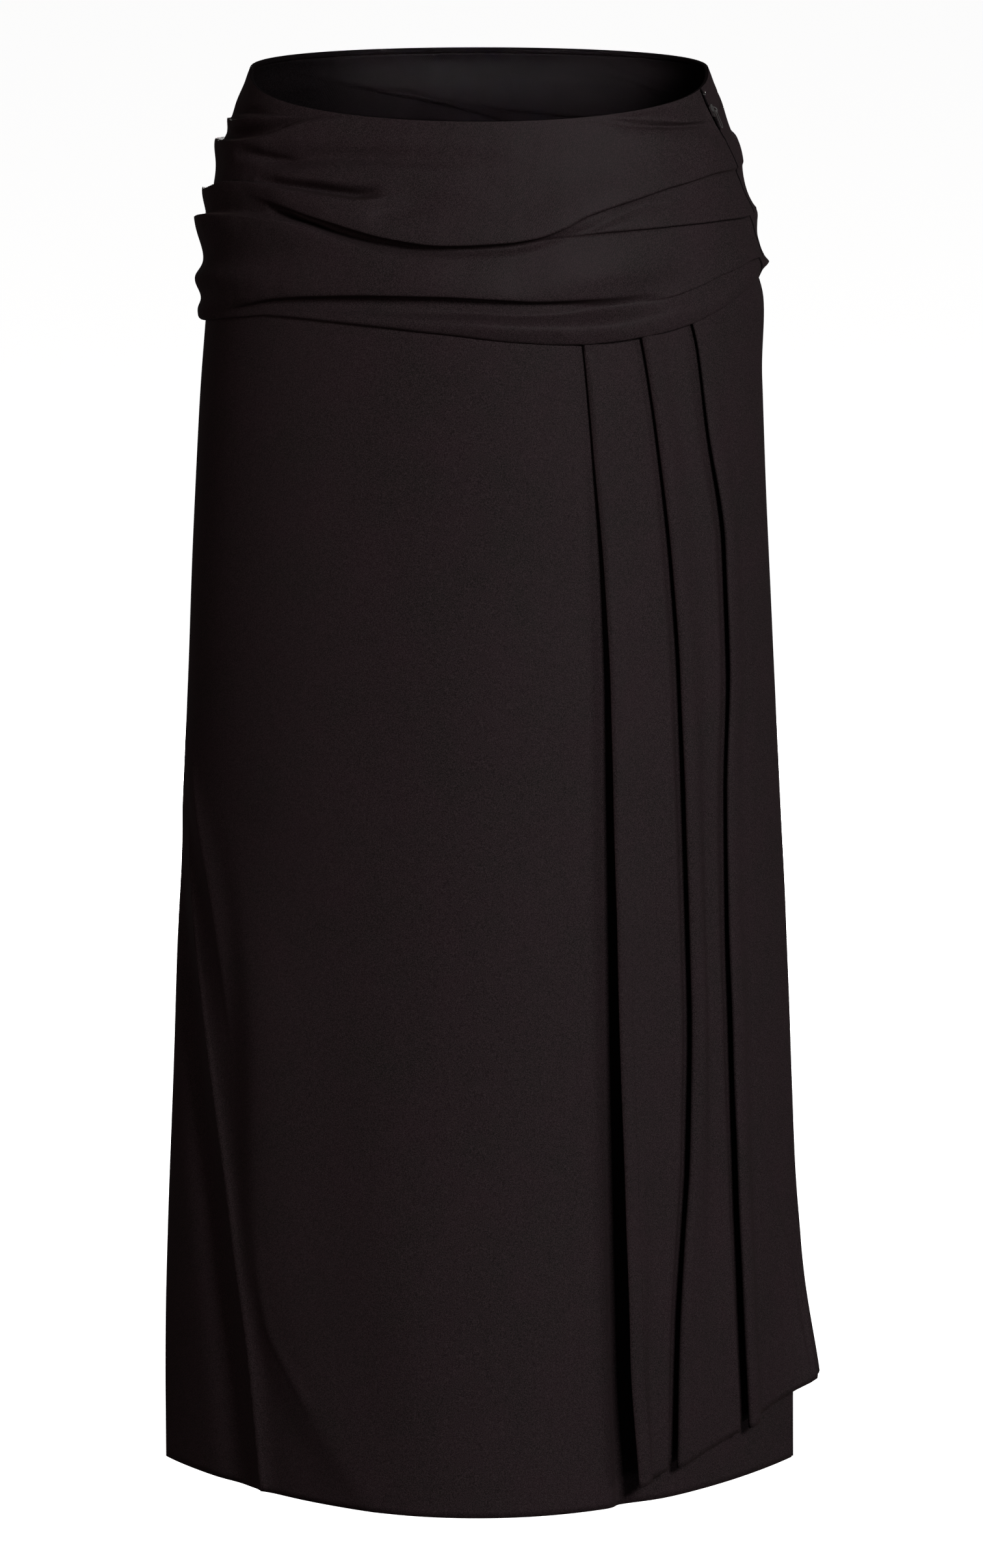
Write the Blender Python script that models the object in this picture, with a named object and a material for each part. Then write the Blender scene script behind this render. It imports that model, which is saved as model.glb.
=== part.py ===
"""A draped midi skirt, filled out as it is worn.

A straight skirt in two panels carries a hip wrap, whose folds are gathered into the side
seams, and a free side panel in knife pleats that hangs from under the wrap's lower edge.
A concealed zip closes the wearer's left side seam.

Metres, +Z up. The origin is the middle of the waist opening, the front faces -Y, and the
wearer's left is +X. A place on the skirt is given by three numbers: an angle round the
body in degrees (0 at the centre front, 90 at the wearer's left, 180 at the centre back),
a drop below the waist edge, and a height above the straight skirt's outer face. Drops,
heights and widths are in millimetres in the tables.
"""

import math
from collections import namedtuple

import bmesh
import bpy
import numpy as np
from mathutils import Matrix, Vector

MM = 0.001

# Driving dimensions, in millimetres
SKIRT_LENGTH = 836.5  # from the waist edge at the side to the hem
WAIST_DIP = 18.0  # how much lower the waist edge is at the centre front than at the sides
CLOTH = 1.2  # thickness of every cloth wall
SEAM_GAP = 0.3  # between two panels sewn edge to edge
LAYER_GAP = 0.4  # least air between two layers of cloth
ZIP_GAP = 1.3  # between the seam's lips over the zip
ZIP_LENGTH = 190.0
RIGHT_SEAM_DEG = -97.0  # the wearer's right side seam, just behind the side

# The straight skirt's horizontal sections. depth_power 0.5 makes an ellipse, less a fuller
# section, and more one that narrows towards a sharp turn at the sides.
Section = namedtuple("Section", "drop half_width front_depth back_depth depth_power")
SECTIONS = (
    Section(0.0, 132.0, 92.0, 92.0, 0.38),
    Section(30.0, 141.5, 99.0, 101.0, 0.40),
    Section(60.0, 150.5, 104.0, 110.0, 0.43),
    Section(90.0, 155.0, 107.0, 117.0, 0.46),
    Section(120.0, 157.5, 109.0, 121.0, 0.49),
    Section(150.0, 160.0, 110.0, 124.0, 0.51),
    Section(190.0, 163.2, 111.0, 126.0, 0.54),
    Section(250.0, 166.7, 112.0, 126.0, 0.57),
    Section(375.0, 172.3, 116.0, 126.0, 0.62),
    Section(500.0, 178.0, 120.0, 127.0, 0.68),
    Section(630.0, 183.2, 124.0, 128.0, 0.76),
    Section(756.0, 187.8, 128.0, 129.0, 0.85),
    Section(SKIRT_LENGTH, 188.2, 129.0, 130.0, 0.93),
)

# The wearer's left side seam, which holds the zip, leans back as it goes down.
SeamPoint = namedtuple("SeamPoint", "drop deg")
ZIP_SEAM = (
    SeamPoint(0.0, 73.6),
    SeamPoint(12.0, 74.5),
    SeamPoint(24.0, 75.9),
    SeamPoint(36.0, 77.1),
    SeamPoint(50.0, 78.9),
    SeamPoint(65.0, 82.2),
    SeamPoint(80.0, 84.6),
    SeamPoint(100.0, 85.0),
    SeamPoint(SKIRT_LENGTH, 85.0),
)

# How far the wrap's lower edge lies below the waist edge
EdgePoint = namedtuple("EdgePoint", "deg drop")
WRAP_EDGE = (
    EdgePoint(-97.0, 149.0),
    EdgePoint(-88.0, 146.0),
    EdgePoint(-50.0, 123.5),
    EdgePoint(-28.0, 119.5),
    EdgePoint(-8.0, 122.0),
    EdgePoint(21.0, 130.5),
    EdgePoint(34.0, 129.0),
    EdgePoint(57.0, 124.0),
    EdgePoint(72.0, 119.0),
    EdgePoint(88.0, 119.0),
    EdgePoint(110.0, 124.0),
    EdgePoint(150.0, 137.0),
    EdgePoint(195.0, 146.0),
    EdgePoint(230.0, 149.0),
    EdgePoint(263.0, 149.0),
)

# A fold follows its knots. Its crest rises height above the cloth beside it and falls away
# over first_side (above it, or to its right-hand side) and second_side (below, or left).
Fold = namedtuple("Fold", "name first_side second_side knots")
Knot = namedtuple("Knot", "deg drop height")

WRAP_SLACK = 1.0  # how far the wrap stands off between its folds
WRAP_HELD = 9.0  # depth of the strip by the waist edge where the wrap lies flat
WRAP_FOLDS = (
    Fold("shoulder", 8.0, 7.0, (
        Knot(-112, 40, 0.0), Knot(-91, 33, 1.2), Knot(-56, 10, 2.0), Knot(-33, 3, 0.0))),
    Fold("upper_gather", 8.0, 8.0, (
        Knot(-150, 56, 0.0), Knot(-90, 43, 5.2), Knot(-69, 27, 3.2), Knot(-50, 10, 0.0))),
    Fold("upper_ridge", 9.0, 7.0, (
        Knot(-160, 90, 0.0), Knot(-120, 82, 3.5), Knot(-90, 74, 5.8), Knot(-56, 49, 3.6),
        Knot(-36, 46, 2.6), Knot(-18, 41, 0.0))),
    Fold("main_gather", 9.0, 9.0, (
        Knot(-165, 112, 0.0), Knot(-120, 102, 5.0), Knot(-90, 96, 7.6), Knot(-66, 78, 5.0),
        Knot(-46, 72, 3.0), Knot(-20, 80, 0.0))),
    Fold("low_gather", 8.0, 8.0, (
        Knot(-160, 132, 0.0), Knot(-90, 125, 5.4), Knot(-72, 112, 3.4), Knot(-50, 99, 1.6),
        Knot(-30, 92, 0.0))),
    Fold("upper_front", 9.0, 9.0, (
        Knot(-62, 42, 0.0), Knot(-40, 37, 1.6), Knot(-10, 32, 1.4), Knot(25, 30, 0.0))),
    Fold("centre_lip", 15.0, 5.0, (
        Knot(-62, 50, 0.0), Knot(-38, 56, 2.2), Knot(-22, 62, 3.8), Knot(-8, 66, 4.4),
        Knot(5, 65, 4.4), Knot(19, 54, 4.4), Knot(35, 45, 4.2), Knot(56, 42, 3.8),
        Knot(84, 48, 3.0), Knot(100, 56, 0.0))),
    Fold("front_swell", 14.0, 14.0, (
        Knot(-48, 92, 0.0), Knot(-28, 88, 3.2), Knot(-5, 89, 4.0), Knot(22, 86, 3.6),
        Knot(48, 85, 2.6), Knot(70, 90, 0.0))),
    Fold("middle_pleat", 9.0, 4.5, (
        Knot(9, 62, 0.0), Knot(26, 62, 2.6), Knot(50, 64, 3.6), Knot(66, 67, 4.0),
        Knot(84, 77, 4.0), Knot(100, 84, 0.0))),
    Fold("lower_pleat", 10.0, 4.5, (
        Knot(40, 104, 0.0), Knot(50, 102, 2.0), Knot(64, 98, 3.6), Knot(84, 104, 4.4),
        Knot(100, 112, 0.0))),
    Fold("left_top", 5.0, 12.0, (
        Knot(30, 8, 0.0), Knot(52, 17, 1.6), Knot(62, 22, 1.6), Knot(74, 31, 0.6),
        Knot(98, 42, 0.0))),
    Fold("lower_roll", 8.0, 12.0, (
        Knot(-130, 146, 0.0), Knot(-90, 143, 4.0), Knot(-73, 136, 3.4), Knot(-50, 121, 2.8),
        Knot(-20, 117, 2.8), Knot(10, 124, 3.2), Knot(24, 126, 1.6), Knot(36, 125, 0.8),
        Knot(60, 119, 0.8), Knot(84, 114, 1.0), Knot(105, 122, 2.6), Knot(150, 134, 2.0),
        Knot(195, 142, 0.0))),
    Fold("over_pleats", 9.0, 30.0, (
        Knot(22, 121, 0.0), Knot(32, 120, 4.0), Knot(47, 118, 4.2), Knot(61, 114, 4.2),
        Knot(75, 110, 3.4), Knot(88, 110, 3.0), Knot(98, 112, 2.8), Knot(110, 117, 0.0))),
    Fold("back_loop_1", 7.0, 10.0, (
        Knot(80, 44, 0.0), Knot(90, 47, 2.4), Knot(104, 48, 3.4), Knot(122, 54, 3.8),
        Knot(150, 62, 2.8), Knot(182, 68, 0.0))),
    Fold("back_loop_2", 9.0, 9.0, (
        Knot(80, 84, 0.0), Knot(92, 90, 6.0), Knot(120, 96, 5.0), Knot(155, 100, 3.4),
        Knot(190, 106, 0.0))),
    Fold("back_tab", 8.0, 5.0, (
        Knot(86, 110, 0.0), Knot(94, 113, 4.0), Knot(102, 114, 3.6), Knot(124, 118, 0.0))),
    Fold("back_swell", 12.0, 12.0, (
        Knot(125, 22, 0.0), Knot(160, 30, 1.6), Knot(200, 32, 1.8), Knot(240, 22, 0.0))),
)

# The straight skirt's own soft folds, which run down it
PANEL_FOLDS = (
    Fold("side_crease", 10.0, 9.0, (
        Knot(-84, 385, 0.0), Knot(-69, 442, 1.6), Knot(-60, 490, 2.0), Knot(-54, 560, 0.0))),
    Fold("side_trough", 9.0, 9.0, (
        Knot(-84, 450, 0.0), Knot(-71, 525, -2.0), Knot(-62, 604, -3.0), Knot(-54, 709, -3.6),
        Knot(-48, 790, -3.0), Knot(-47, SKIRT_LENGTH, -1.6))),
    Fold("side_fold", 7.0, 12.0, (
        Knot(-79, 440, 0.0), Knot(-66, 524, 2.0), Knot(-57, 604, 3.2), Knot(-49, 709, 4.2),
        Knot(-43, 790, 4.0), Knot(-42, SKIRT_LENGTH, 2.4))),
    Fold("hem_crease", 9.0, 9.0, (
        Knot(-46, 700, 0.0), Knot(-39, 746, 1.2), Knot(-31, 785, 1.6),
        Knot(-25, SKIRT_LENGTH, 1.8))),
    Fold("edge_hollow", 7.5, 17.0, (
        Knot(23.2, 190, 0.0), Knot(25.2, 300, -1.6), Knot(26.2, 420, -3.4),
        Knot(26.4, 530, -5.0), Knot(26.8, 635, -6.8), Knot(27.0, 735, -8.6),
        Knot(28.0, SKIRT_LENGTH, -9.6))),
    Fold("back_fold_right", 16.0, 16.0, (
        Knot(222, 330, 0.0), Knot(220, 520, 3.0), Knot(219, 700, 4.6),
        Knot(218, SKIRT_LENGTH, 5.4))),
    Fold("back_hollow", 24.0, 24.0, (
        Knot(184, 300, 0.0), Knot(188, 520, -2.6), Knot(190, 700, -4.0),
        Knot(190, SKIRT_LENGTH, -4.4))),
    Fold("back_fold_left", 15.0, 15.0, (
        Knot(146, 280, 0.0), Knot(150, 520, 3.0), Knot(152, 700, 4.4),
        Knot(153, SKIRT_LENGTH, 5.0))),
)

# The side panel's pleats: each edge's angle, and how far the cloth stands off the skirt
DrapeRow = namedtuple("DrapeRow", "drop edge_1 edge_2 edge_3 outer lift_1 lift_2 lift_3 swing")
DRAPE_TOP = 115.0  # about where the pleats start
DRAPE_TUCK = 9.0  # how far the panel runs up under the wrap's lower edge
DRAPE_HEM_FRONT = 822.0  # its slanted hem is longest at the leading edge
DRAPE_HEM_BACK = 786.0
DRAPE_HEM_BOW = 6.0  # and curves up between them
DRAPE_ROWS = (
    DrapeRow(DRAPE_TOP, 21.0, 34.5, 47.6, 96.0, 0.0, 0.0, 0.0, 1.6),
    DrapeRow(142.0, 21.6, 35.4, 48.9, 96.2, 0.2, 0.2, 0.2, 7.0),
    DrapeRow(190.0, 22.6, 36.8, 51.0, 96.5, 0.5, 0.5, 0.5, 2.0),
    DrapeRow(270.0, 24.3, 39.7, 55.2, 97.0, 1.2, 1.0, 1.0, 0.2),
    DrapeRow(420.0, 25.6, 41.2, 54.2, 97.0, 2.8, 1.6, 1.8, 1.6),
    DrapeRow(530.0, 26.0, 41.8, 52.4, 97.0, 4.2, 2.2, 2.4, 2.6),
    DrapeRow(635.0, 26.6, 40.2, 52.2, 96.5, 5.6, 3.2, 3.4, 3.0),
    DrapeRow(735.0, 26.6, 37.2, 53.0, 96.0, 7.0, 4.4, 4.6, 5.0),
    DrapeRow(DRAPE_HEM_FRONT, 27.6, 36.6, 54.2, 95.0, 8.4, 5.0, 5.6, 17.0),
)
PLEAT_RETURN = 12.0  # how far a pleat's cloth runs back under its edge
PLEAT_STEP = 1.8  # between the middles of two layers in a pleat at the top
PLEAT_OPENING = 0.9  # more than that, by the hem
PLEAT_CREST = 7.0  # from the crest of a pleat's face to the next edge
HIDDEN_LIFT = 0.8  # share of an edge's lift that the layer under it has
HIDDEN_MIDDLE_LIFT = 0.3  # and that its middle has

# A pleat's face, from its edge to the next one: the share of the way to its crest and the
# millimetres past that, then what is left of its own edge's height and how much it has of
# the next edge's lift.
PleatPoint = namedtuple("PleatPoint", "along past kept raised")
PLEAT_FACE = (
    PleatPoint(0.0, 0.0, 1.0, 0.0),
    PleatPoint(0.25, 0.0, 0.75, 0.2),
    PleatPoint(0.5, 0.0, 0.45, 0.4),
    PleatPoint(1.0, -3.0, 0.0, 0.8),
    PleatPoint(1.0, 0.0, 0.0, 0.75),
    PleatPoint(1.0, 3.0, 0.0, 0.3),
    PleatPoint(1.0, 6.0, 0.0, 0.1),
)

# The free side past the last pleat settles on the skirt, then swings out.
FREE_SHARES = (0.12, 0.26, 0.42, 0.58, 0.74, 0.88, 1.0)
FREE_START_STEPS = 1.6  # pleat steps that it starts above the skirt
FREE_SETTLE_POWER = 4
FREE_SWING_POWER = 1.6
LAST_FACE_DIP = 0.1  # share of a step that the last face sinks before it
LAST_FACE_DEG = 1.0  # how much wider that face is than the cloth under it

# The zip's metal
SLIDER_DROP = 14.0
SLIDER_LENGTH = 8.0
SLIDER_WIDTH = 3.6
SLIDER_PLATE = 1.0
CROWN_HALF_LENGTH = 2.2
CROWN_RISE = 2.6
CROWN_WIRE = 0.8
CROWN_FOOT = 0.3  # the arch starts this far above the plate's middle
CROWN_STEPS = 10
NECK_WIDTH = 0.5
NECK_LENGTH = 5.0
PULL_LENGTH = 11.8
PULL_WIDTH = 3.0
PULL_SLOT_WIDTH = 1.4
PULL_BAR = 0.8  # width of the metal round the slot
PULL_THICKNESS = 0.8
PULL_AXIS_HEIGHT = 1.1  # above the slider's plate
PULL_AXIS_DOWN = 0.45  # below the crown's middle
TAPE_HALF_WIDTH = 7.0
TAPE_THICKNESS = 1.0
TAPE_GAP = 0.6  # the panels' facets cut inside their curve
TAPE_STEPS = (12, 4)
HOOK_DROP = 3.2
HOOK_WIRE = 0.8
HOOK_REACH = 3.0
HOOK_BEND = 1.1  # depth of its bend
HOOK_BACK = 0.4  # how far the bend's ends stand back from its middle
HOOK_STEPS = 8

# Where each wall's columns and rows lie
Span = namedtuple("Span", "start end steps")
FRONT_PANEL_COLUMNS = (
    Span(RIGHT_SEAM_DEG, -82.0, 3), Span(-82.0, -30.0, 18), Span(-30.0, 20.0, 6),
    Span(20.0, 38.0, 9), Span(38.0, 73.0, 4), Span(73.0, 85.0, 4))
BACK_PANEL_COLUMNS = (Span(85.0, 97.0, 4), Span(97.0, 263.0, 24))
PANEL_ROWS = (
    Span(0.0, 30.0, 3), Span(30.0, 150.0, 4), Span(150.0, 390.0, 3),
    Span(390.0, SKIRT_LENGTH, 10))
FRONT_WRAP_STEPS = (32, 26)
BACK_WRAP_STEPS = (26, 22)
WRAP_DEPTH = 130.0  # a first guess, before its lower edge is known at each angle
DRAPE_STEPS = 18


# ---- Looking values up in a table ----

def smooth_value(table, key, column, at):
    """The column's value at each place of the key column, on a smooth curve that never
    overshoots its rows."""
    x = np.array([getattr(row, key) for row in table], float)
    y = np.array([getattr(row, column) for row in table], float)
    width = np.diff(x)
    rise = np.diff(y) / width
    slope = np.concatenate([rise[:1], np.zeros(len(x) - 2), rise[-1:]])
    for i in range(1, len(x) - 1):
        if rise[i - 1] * rise[i] > 0:
            slope[i] = 2 * rise[i - 1] * rise[i] / (rise[i - 1] + rise[i])
    at = np.clip(at, x[0], x[-1])
    k = np.clip(np.searchsorted(x, at, side="right") - 1, 0, len(x) - 2)
    t = (at - x[k]) / width[k]
    return (
        (1 + 2 * t) * (1 - t) ** 2 * y[k]
        + t * (1 - t) ** 2 * width[k] * slope[k]
        + t * t * (3 - 2 * t) * y[k + 1]
        + t * t * (t - 1) * width[k] * slope[k + 1]
    )


def ease(value, start, end):
    """0 before start, 1 after end, and a soft step between."""
    t = np.clip((np.asarray(value, float) - start) / (end - start), 0.0, 1.0)
    return t * t * (3 - 2 * t)


def spread(spans):
    """The places that a tuple of spans names, each end given once."""
    places = [spans[0].start]
    for span in spans:
        places += [
            span.start + (span.end - span.start) * step / span.steps
            for step in range(1, span.steps + 1)
        ]
    return np.array(places)


# ---- The straight skirt's surface ----

def skirt_point(deg, drop):
    """Points on the straight skirt's outer face, in millimetres."""
    deg, drop = np.broadcast_arrays(np.asarray(deg, float), np.asarray(drop, float))
    half_width, front_depth, back_depth, power = (
        smooth_value(SECTIONS, "drop", column, drop) for column in Section._fields[1:]
    )
    turn = np.radians(deg)
    share = np.abs(np.cos(turn)) ** (2 * power)
    front = np.cos(turn) > 0
    dip = WAIST_DIP * share * (1 - drop / SKIRT_LENGTH)
    return np.stack(
        [
            half_width * np.sin(turn),
            np.where(front, -front_depth * share, back_depth * share),
            -drop - np.where(front, dip, 0.0),
        ],
        axis=-1,
    )


def skirt_normal(deg, drop):
    """The outward direction there."""
    small_deg, small_drop = 0.5, 2.0
    across = skirt_point(deg + small_deg, drop) - skirt_point(deg - small_deg, drop)
    lower = np.minimum(drop + small_drop, SKIRT_LENGTH)
    upper = np.maximum(drop - small_drop, 0.0)
    down = skirt_point(deg, lower) - skirt_point(deg, upper)
    normal = np.cross(down, across)
    return normal / np.linalg.norm(normal, axis=-1, keepdims=True)


def place(deg, drop, height):
    """Points that lie height above the straight skirt's outer face, in millimetres."""
    height = np.asarray(height, float)[..., None]
    return skirt_point(deg, drop) + height * skirt_normal(deg, drop)


def mm_per_degree(deg, drop):
    return np.linalg.norm(skirt_point(deg + 0.5, drop) - skirt_point(deg - 0.5, drop), axis=-1)


def zip_seam_deg(drop):
    return smooth_value(ZIP_SEAM, "drop", "deg", drop)


def half_seam_gap(drop):
    """Half the gap at the wearer's left seam, which is wider over the zip."""
    over_zip = 1 - ease(drop, ZIP_LENGTH, ZIP_LENGTH + 15.0)
    return 0.5 * (SEAM_GAP + (ZIP_GAP - SEAM_GAP) * over_zip)


# ---- Folds ----

def fall_away(distance, first_side, second_side):
    width = np.where(distance < 0, first_side, second_side)
    return np.exp(-((distance / width) ** 2))


def folds_across(folds, deg, drop):
    """The height that folds running round the body add, also one turn further on."""
    total = np.zeros(np.shape(drop))
    for fold in folds:
        for turn in (-360.0, 0.0, 360.0):
            crest = smooth_value(fold.knots, "deg", "drop", deg + turn)
            height = smooth_value(fold.knots, "deg", "height", deg + turn)
            total += height * fall_away(drop - crest, fold.first_side, fold.second_side)
    return total


def folds_down(folds, deg, drop):
    """The height that folds running down the skirt add."""
    total = np.zeros(np.shape(drop))
    for fold in folds:
        crest = smooth_value(fold.knots, "drop", "deg", drop)
        height = smooth_value(fold.knots, "drop", "height", drop)
        distance = (deg - crest) * mm_per_degree(crest, drop)
        total = total + height * fall_away(distance, fold.first_side, fold.second_side)
    return total


def panel_height(deg, drop):
    """How far the straight skirt's outer face stands off its plain section."""
    return folds_down(PANEL_FOLDS, deg, drop)


def wrap_bottom(deg):
    """The wrap's lower edge, for any angle from the right seam round to itself."""
    return smooth_value(WRAP_EDGE, "deg", "drop", deg)


def wrap_height(deg, drop):
    """How far the wrap's inner face stands off the straight skirt."""
    slack = WRAP_SLACK + folds_across(WRAP_FOLDS, deg, drop)
    return LAYER_GAP + ease(drop, 0.0, WRAP_HELD) * slack


# ---- The side panel's pleats ----

def drape_hem(deg):
    """The side panel's slanted hem, higher towards the back."""
    first, last = DRAPE_ROWS[-1].edge_1, DRAPE_ROWS[-1].outer
    share = np.clip((deg - first) / (last - first), 0.0, 1.0)
    bow = DRAPE_HEM_BOW * np.sin(math.pi * share)
    return DRAPE_HEM_FRONT + (DRAPE_HEM_BACK - DRAPE_HEM_FRONT) * share - bow


def turn_back(deg, drop, low, high, towards):
    """A fold's three points, from height low to height high round a half circle."""
    radius = 0.5 * (high - low)
    reach = radius / mm_per_degree(deg, drop) * towards
    middle = 0.5 * (high + low)
    return [
        (deg + reach * math.cos(turned), middle + radius * math.sin(turned))
        for turned in (-0.25 * math.pi, 0.0, 0.25 * math.pi)
    ]


def drape_row(drop):
    """The side panel's section at one drop: angle and middle height of each column."""
    row = {name: float(smooth_value(DRAPE_ROWS, "drop", name, drop)) for name in DrapeRow._fields}
    lying = LAYER_GAP + 0.5 * CLOTH
    step = PLEAT_STEP + PLEAT_OPENING * ease(drop, 200.0, SKIRT_LENGTH)
    columns = []
    start, start_height = row["edge_1"], lying + row["lift_1"]
    for edge, lift in ((row["edge_2"], row["lift_2"]), (row["edge_3"], row["lift_3"])):
        per_mm = 1.0 / float(mm_per_degree(edge, drop))
        under = edge + PLEAT_RETURN * per_mm
        crest = edge - PLEAT_CREST * per_mm
        hidden = lying + step + HIDDEN_LIFT * lift
        columns += [
            (
                start + (crest - start) * point.along + point.past * per_mm,
                lying + point.kept * (start_height - lying) + point.raised * lift,
            )
            for point in PLEAT_FACE
        ]
        columns += [(0.5 * (edge + under), lying), (under, lying)]
        columns += turn_back(under, drop, lying, lying + step, 1.0)
        columns += [
            (under, lying + step),
            (0.5 * (edge + under), lying + step + HIDDEN_MIDDLE_LIFT * lift),
            (edge, hidden),
        ]
        start, start_height = edge, lying + 2 * step + lift
        columns += turn_back(edge, drop, hidden, start_height, -1.0)
    rest = PLEAT_RETURN / float(mm_per_degree(start, drop))
    free_start, free_height = start + rest + LAST_FACE_DEG, FREE_START_STEPS * step
    columns += [
        (start, start_height),
        (start + 0.5 * rest, start_height - LAST_FACE_DIP * step),
        (free_start, lying + free_height),
    ]
    for share in FREE_SHARES:
        settled = lying + free_height * (1 - share) ** FREE_SETTLE_POWER
        swung = row["swing"] * share**FREE_SWING_POWER
        columns.append((free_start + (row["outer"] - free_start) * share, settled + swung))
    return np.array(columns)


# ---- Making meshes ----

def cloth_material(name, color):
    material = bpy.data.materials.new(name)
    material.use_nodes = True
    shader = material.node_tree.nodes["Principled BSDF"]
    shader.inputs["Base Color"].default_value = (*color, 1.0)
    shader.inputs["Roughness"].default_value = 0.62
    shader.inputs["Sheen Weight"].default_value = 0.25
    return material


def metal_material(name, color):
    material = bpy.data.materials.new(name)
    material.use_nodes = True
    shader = material.node_tree.nodes["Principled BSDF"]
    shader.inputs["Base Color"].default_value = (*color, 1.0)
    shader.inputs["Metallic"].default_value = 1.0
    shader.inputs["Roughness"].default_value = 0.28
    return material


def add_object(name, mesh, material):
    part = bpy.data.objects.new(name, mesh)
    part.data.materials.append(material)
    bpy.context.scene.collection.objects.link(part)
    return part


def sheet_mesh(name, sheets):
    """A mesh of one sheet of points, rows by columns in millimetres, or a closed wall
    between two, the outer one first. Its faces look out."""
    rows, columns = sheets[0].shape[:2]
    size = rows * columns

    def corner(side, r, c):
        return side * size + r * columns + c

    faces = []
    for side in range(len(sheets)):
        for r in range(rows - 1):
            for c in range(columns - 1):
                face = [
                    corner(side, r, c), corner(side, r + 1, c),
                    corner(side, r + 1, c + 1), corner(side, r, c + 1)]
                faces.append(face[::-1] if side else face)
    if len(sheets) == 2:
        rim = [(0, c) for c in range(columns)]
        rim += [(r, columns - 1) for r in range(1, rows)]
        rim += [(rows - 1, c) for c in range(columns - 2, -1, -1)]
        rim += [(r, 0) for r in range(rows - 2, 0, -1)]
        for here, following in zip(rim, rim[1:] + rim[:1]):
            faces.append([
                corner(0, *here), corner(0, *following),
                corner(1, *following), corner(1, *here)])
    points = np.concatenate([sheet.reshape(-1, 3) for sheet in sheets]) * MM
    mesh = bpy.data.meshes.new(name)
    mesh.from_pydata([tuple(point) for point in points], [], faces)
    mesh.shade_smooth()
    return mesh


def fitted_wall(name, deg, drop, height_of, inside, outside, material):
    """A wall from inside to outside of the surface that height_of(deg, drop) raises, both
    in millimetres along that surface's own normal."""
    small_deg, small_drop = 0.6, 1.5
    lower = np.minimum(drop + small_drop, SKIRT_LENGTH)
    upper = np.maximum(drop - small_drop, 0.0)
    middle = place(deg, drop, height_of(deg, drop))
    across = (
        place(deg + small_deg, drop, height_of(deg + small_deg, drop))
        - place(deg - small_deg, drop, height_of(deg - small_deg, drop)))
    down = place(deg, lower, height_of(deg, lower)) - place(deg, upper, height_of(deg, upper))
    normal = np.cross(down, across)
    normal /= np.linalg.norm(normal, axis=-1, keepdims=True)
    mesh = sheet_mesh(name, [middle + outside * normal, middle + inside * normal])
    return add_object(name, mesh, material)


def folded_wall(name, middle, thickness, material):
    """A wall on both sides of a sheet that folds back over itself."""
    part = add_object(name, sheet_mesh(name, [middle]), material)
    wall = part.modifiers.new("Wall", "SOLIDIFY")
    wall.thickness = thickness * MM
    wall.offset = 0.0
    wall.use_even_offset = True
    return part


def tube(name, path, radius, sides, material, closed=False):
    """A round wire along a path in millimetres."""
    path = [Vector(point) * MM for point in path]
    mesh = bmesh.new()
    rings = []
    normal = None
    for i, here in enumerate(path):
        before = path[i - 1] if i or closed else here
        after = path[(i + 1) % len(path)] if i + 1 < len(path) or closed else here
        along = (after - before).normalized()
        if normal is None:
            normal = along.orthogonal().normalized()
        normal = (normal - along * normal.dot(along)).normalized()
        side = along.cross(normal)
        rings.append([
            mesh.verts.new(
                here
                + normal * radius * MM * math.cos(2 * math.pi * k / sides)
                + side * radius * MM * math.sin(2 * math.pi * k / sides)
            )
            for k in range(sides)
        ])
    pairs = list(zip(rings, rings[1:] + rings[:1])) if closed else list(zip(rings, rings[1:]))
    for ring, following in pairs:
        for k in range(sides):
            n = (k + 1) % sides
            mesh.faces.new((ring[k], ring[n], following[n], following[k]))
    if not closed:
        mesh.faces.new(list(reversed(rings[0])))
        mesh.faces.new(rings[-1])
    bmesh.ops.recalc_face_normals(mesh, faces=mesh.faces)
    made = bpy.data.meshes.new(name)
    mesh.to_mesh(made)
    mesh.free()
    return add_object(name, made, material)


def rounded_plate(name, length, width, thickness, corner_steps, material, slot=None):
    """A plate with half-round ends along X, its middle at the origin. A slot is given as
    its (length, width)."""

    def outline(long, wide):
        radius = 0.5 * wide
        straight = 0.5 * long - radius
        points = []
        for end, turned in ((1, -90.0), (-1, 90.0)):
            for step in range(corner_steps + 1):
                angle = math.radians(turned + 180.0 * step / corner_steps)
                x = end * straight + radius * math.cos(angle)
                points.append((x * MM, radius * math.sin(angle) * MM))
        return points

    mesh = bmesh.new()
    loops = [outline(length, width)] + ([outline(*slot)] if slot else [])
    rings = [
        [[mesh.verts.new((x, y, side * 0.5 * thickness * MM)) for x, y in loop] for side in (-1, 1)]
        for loop in loops
    ]
    count = len(loops[0])
    for ring in rings:
        for k in range(count):
            n = (k + 1) % count
            mesh.faces.new((ring[0][k], ring[0][n], ring[1][n], ring[1][k]))
    for side in (0, 1):
        if slot:
            for k in range(count):
                n = (k + 1) % count
                outer, inner = rings[0][side], rings[1][side]
                mesh.faces.new((outer[k], outer[n], inner[n], inner[k]))
        else:
            mesh.faces.new(rings[0][side])
    bmesh.ops.recalc_face_normals(mesh, faces=mesh.faces)
    made = bpy.data.meshes.new(name)
    mesh.to_mesh(made)
    mesh.free()
    return add_object(name, made, material)


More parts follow.
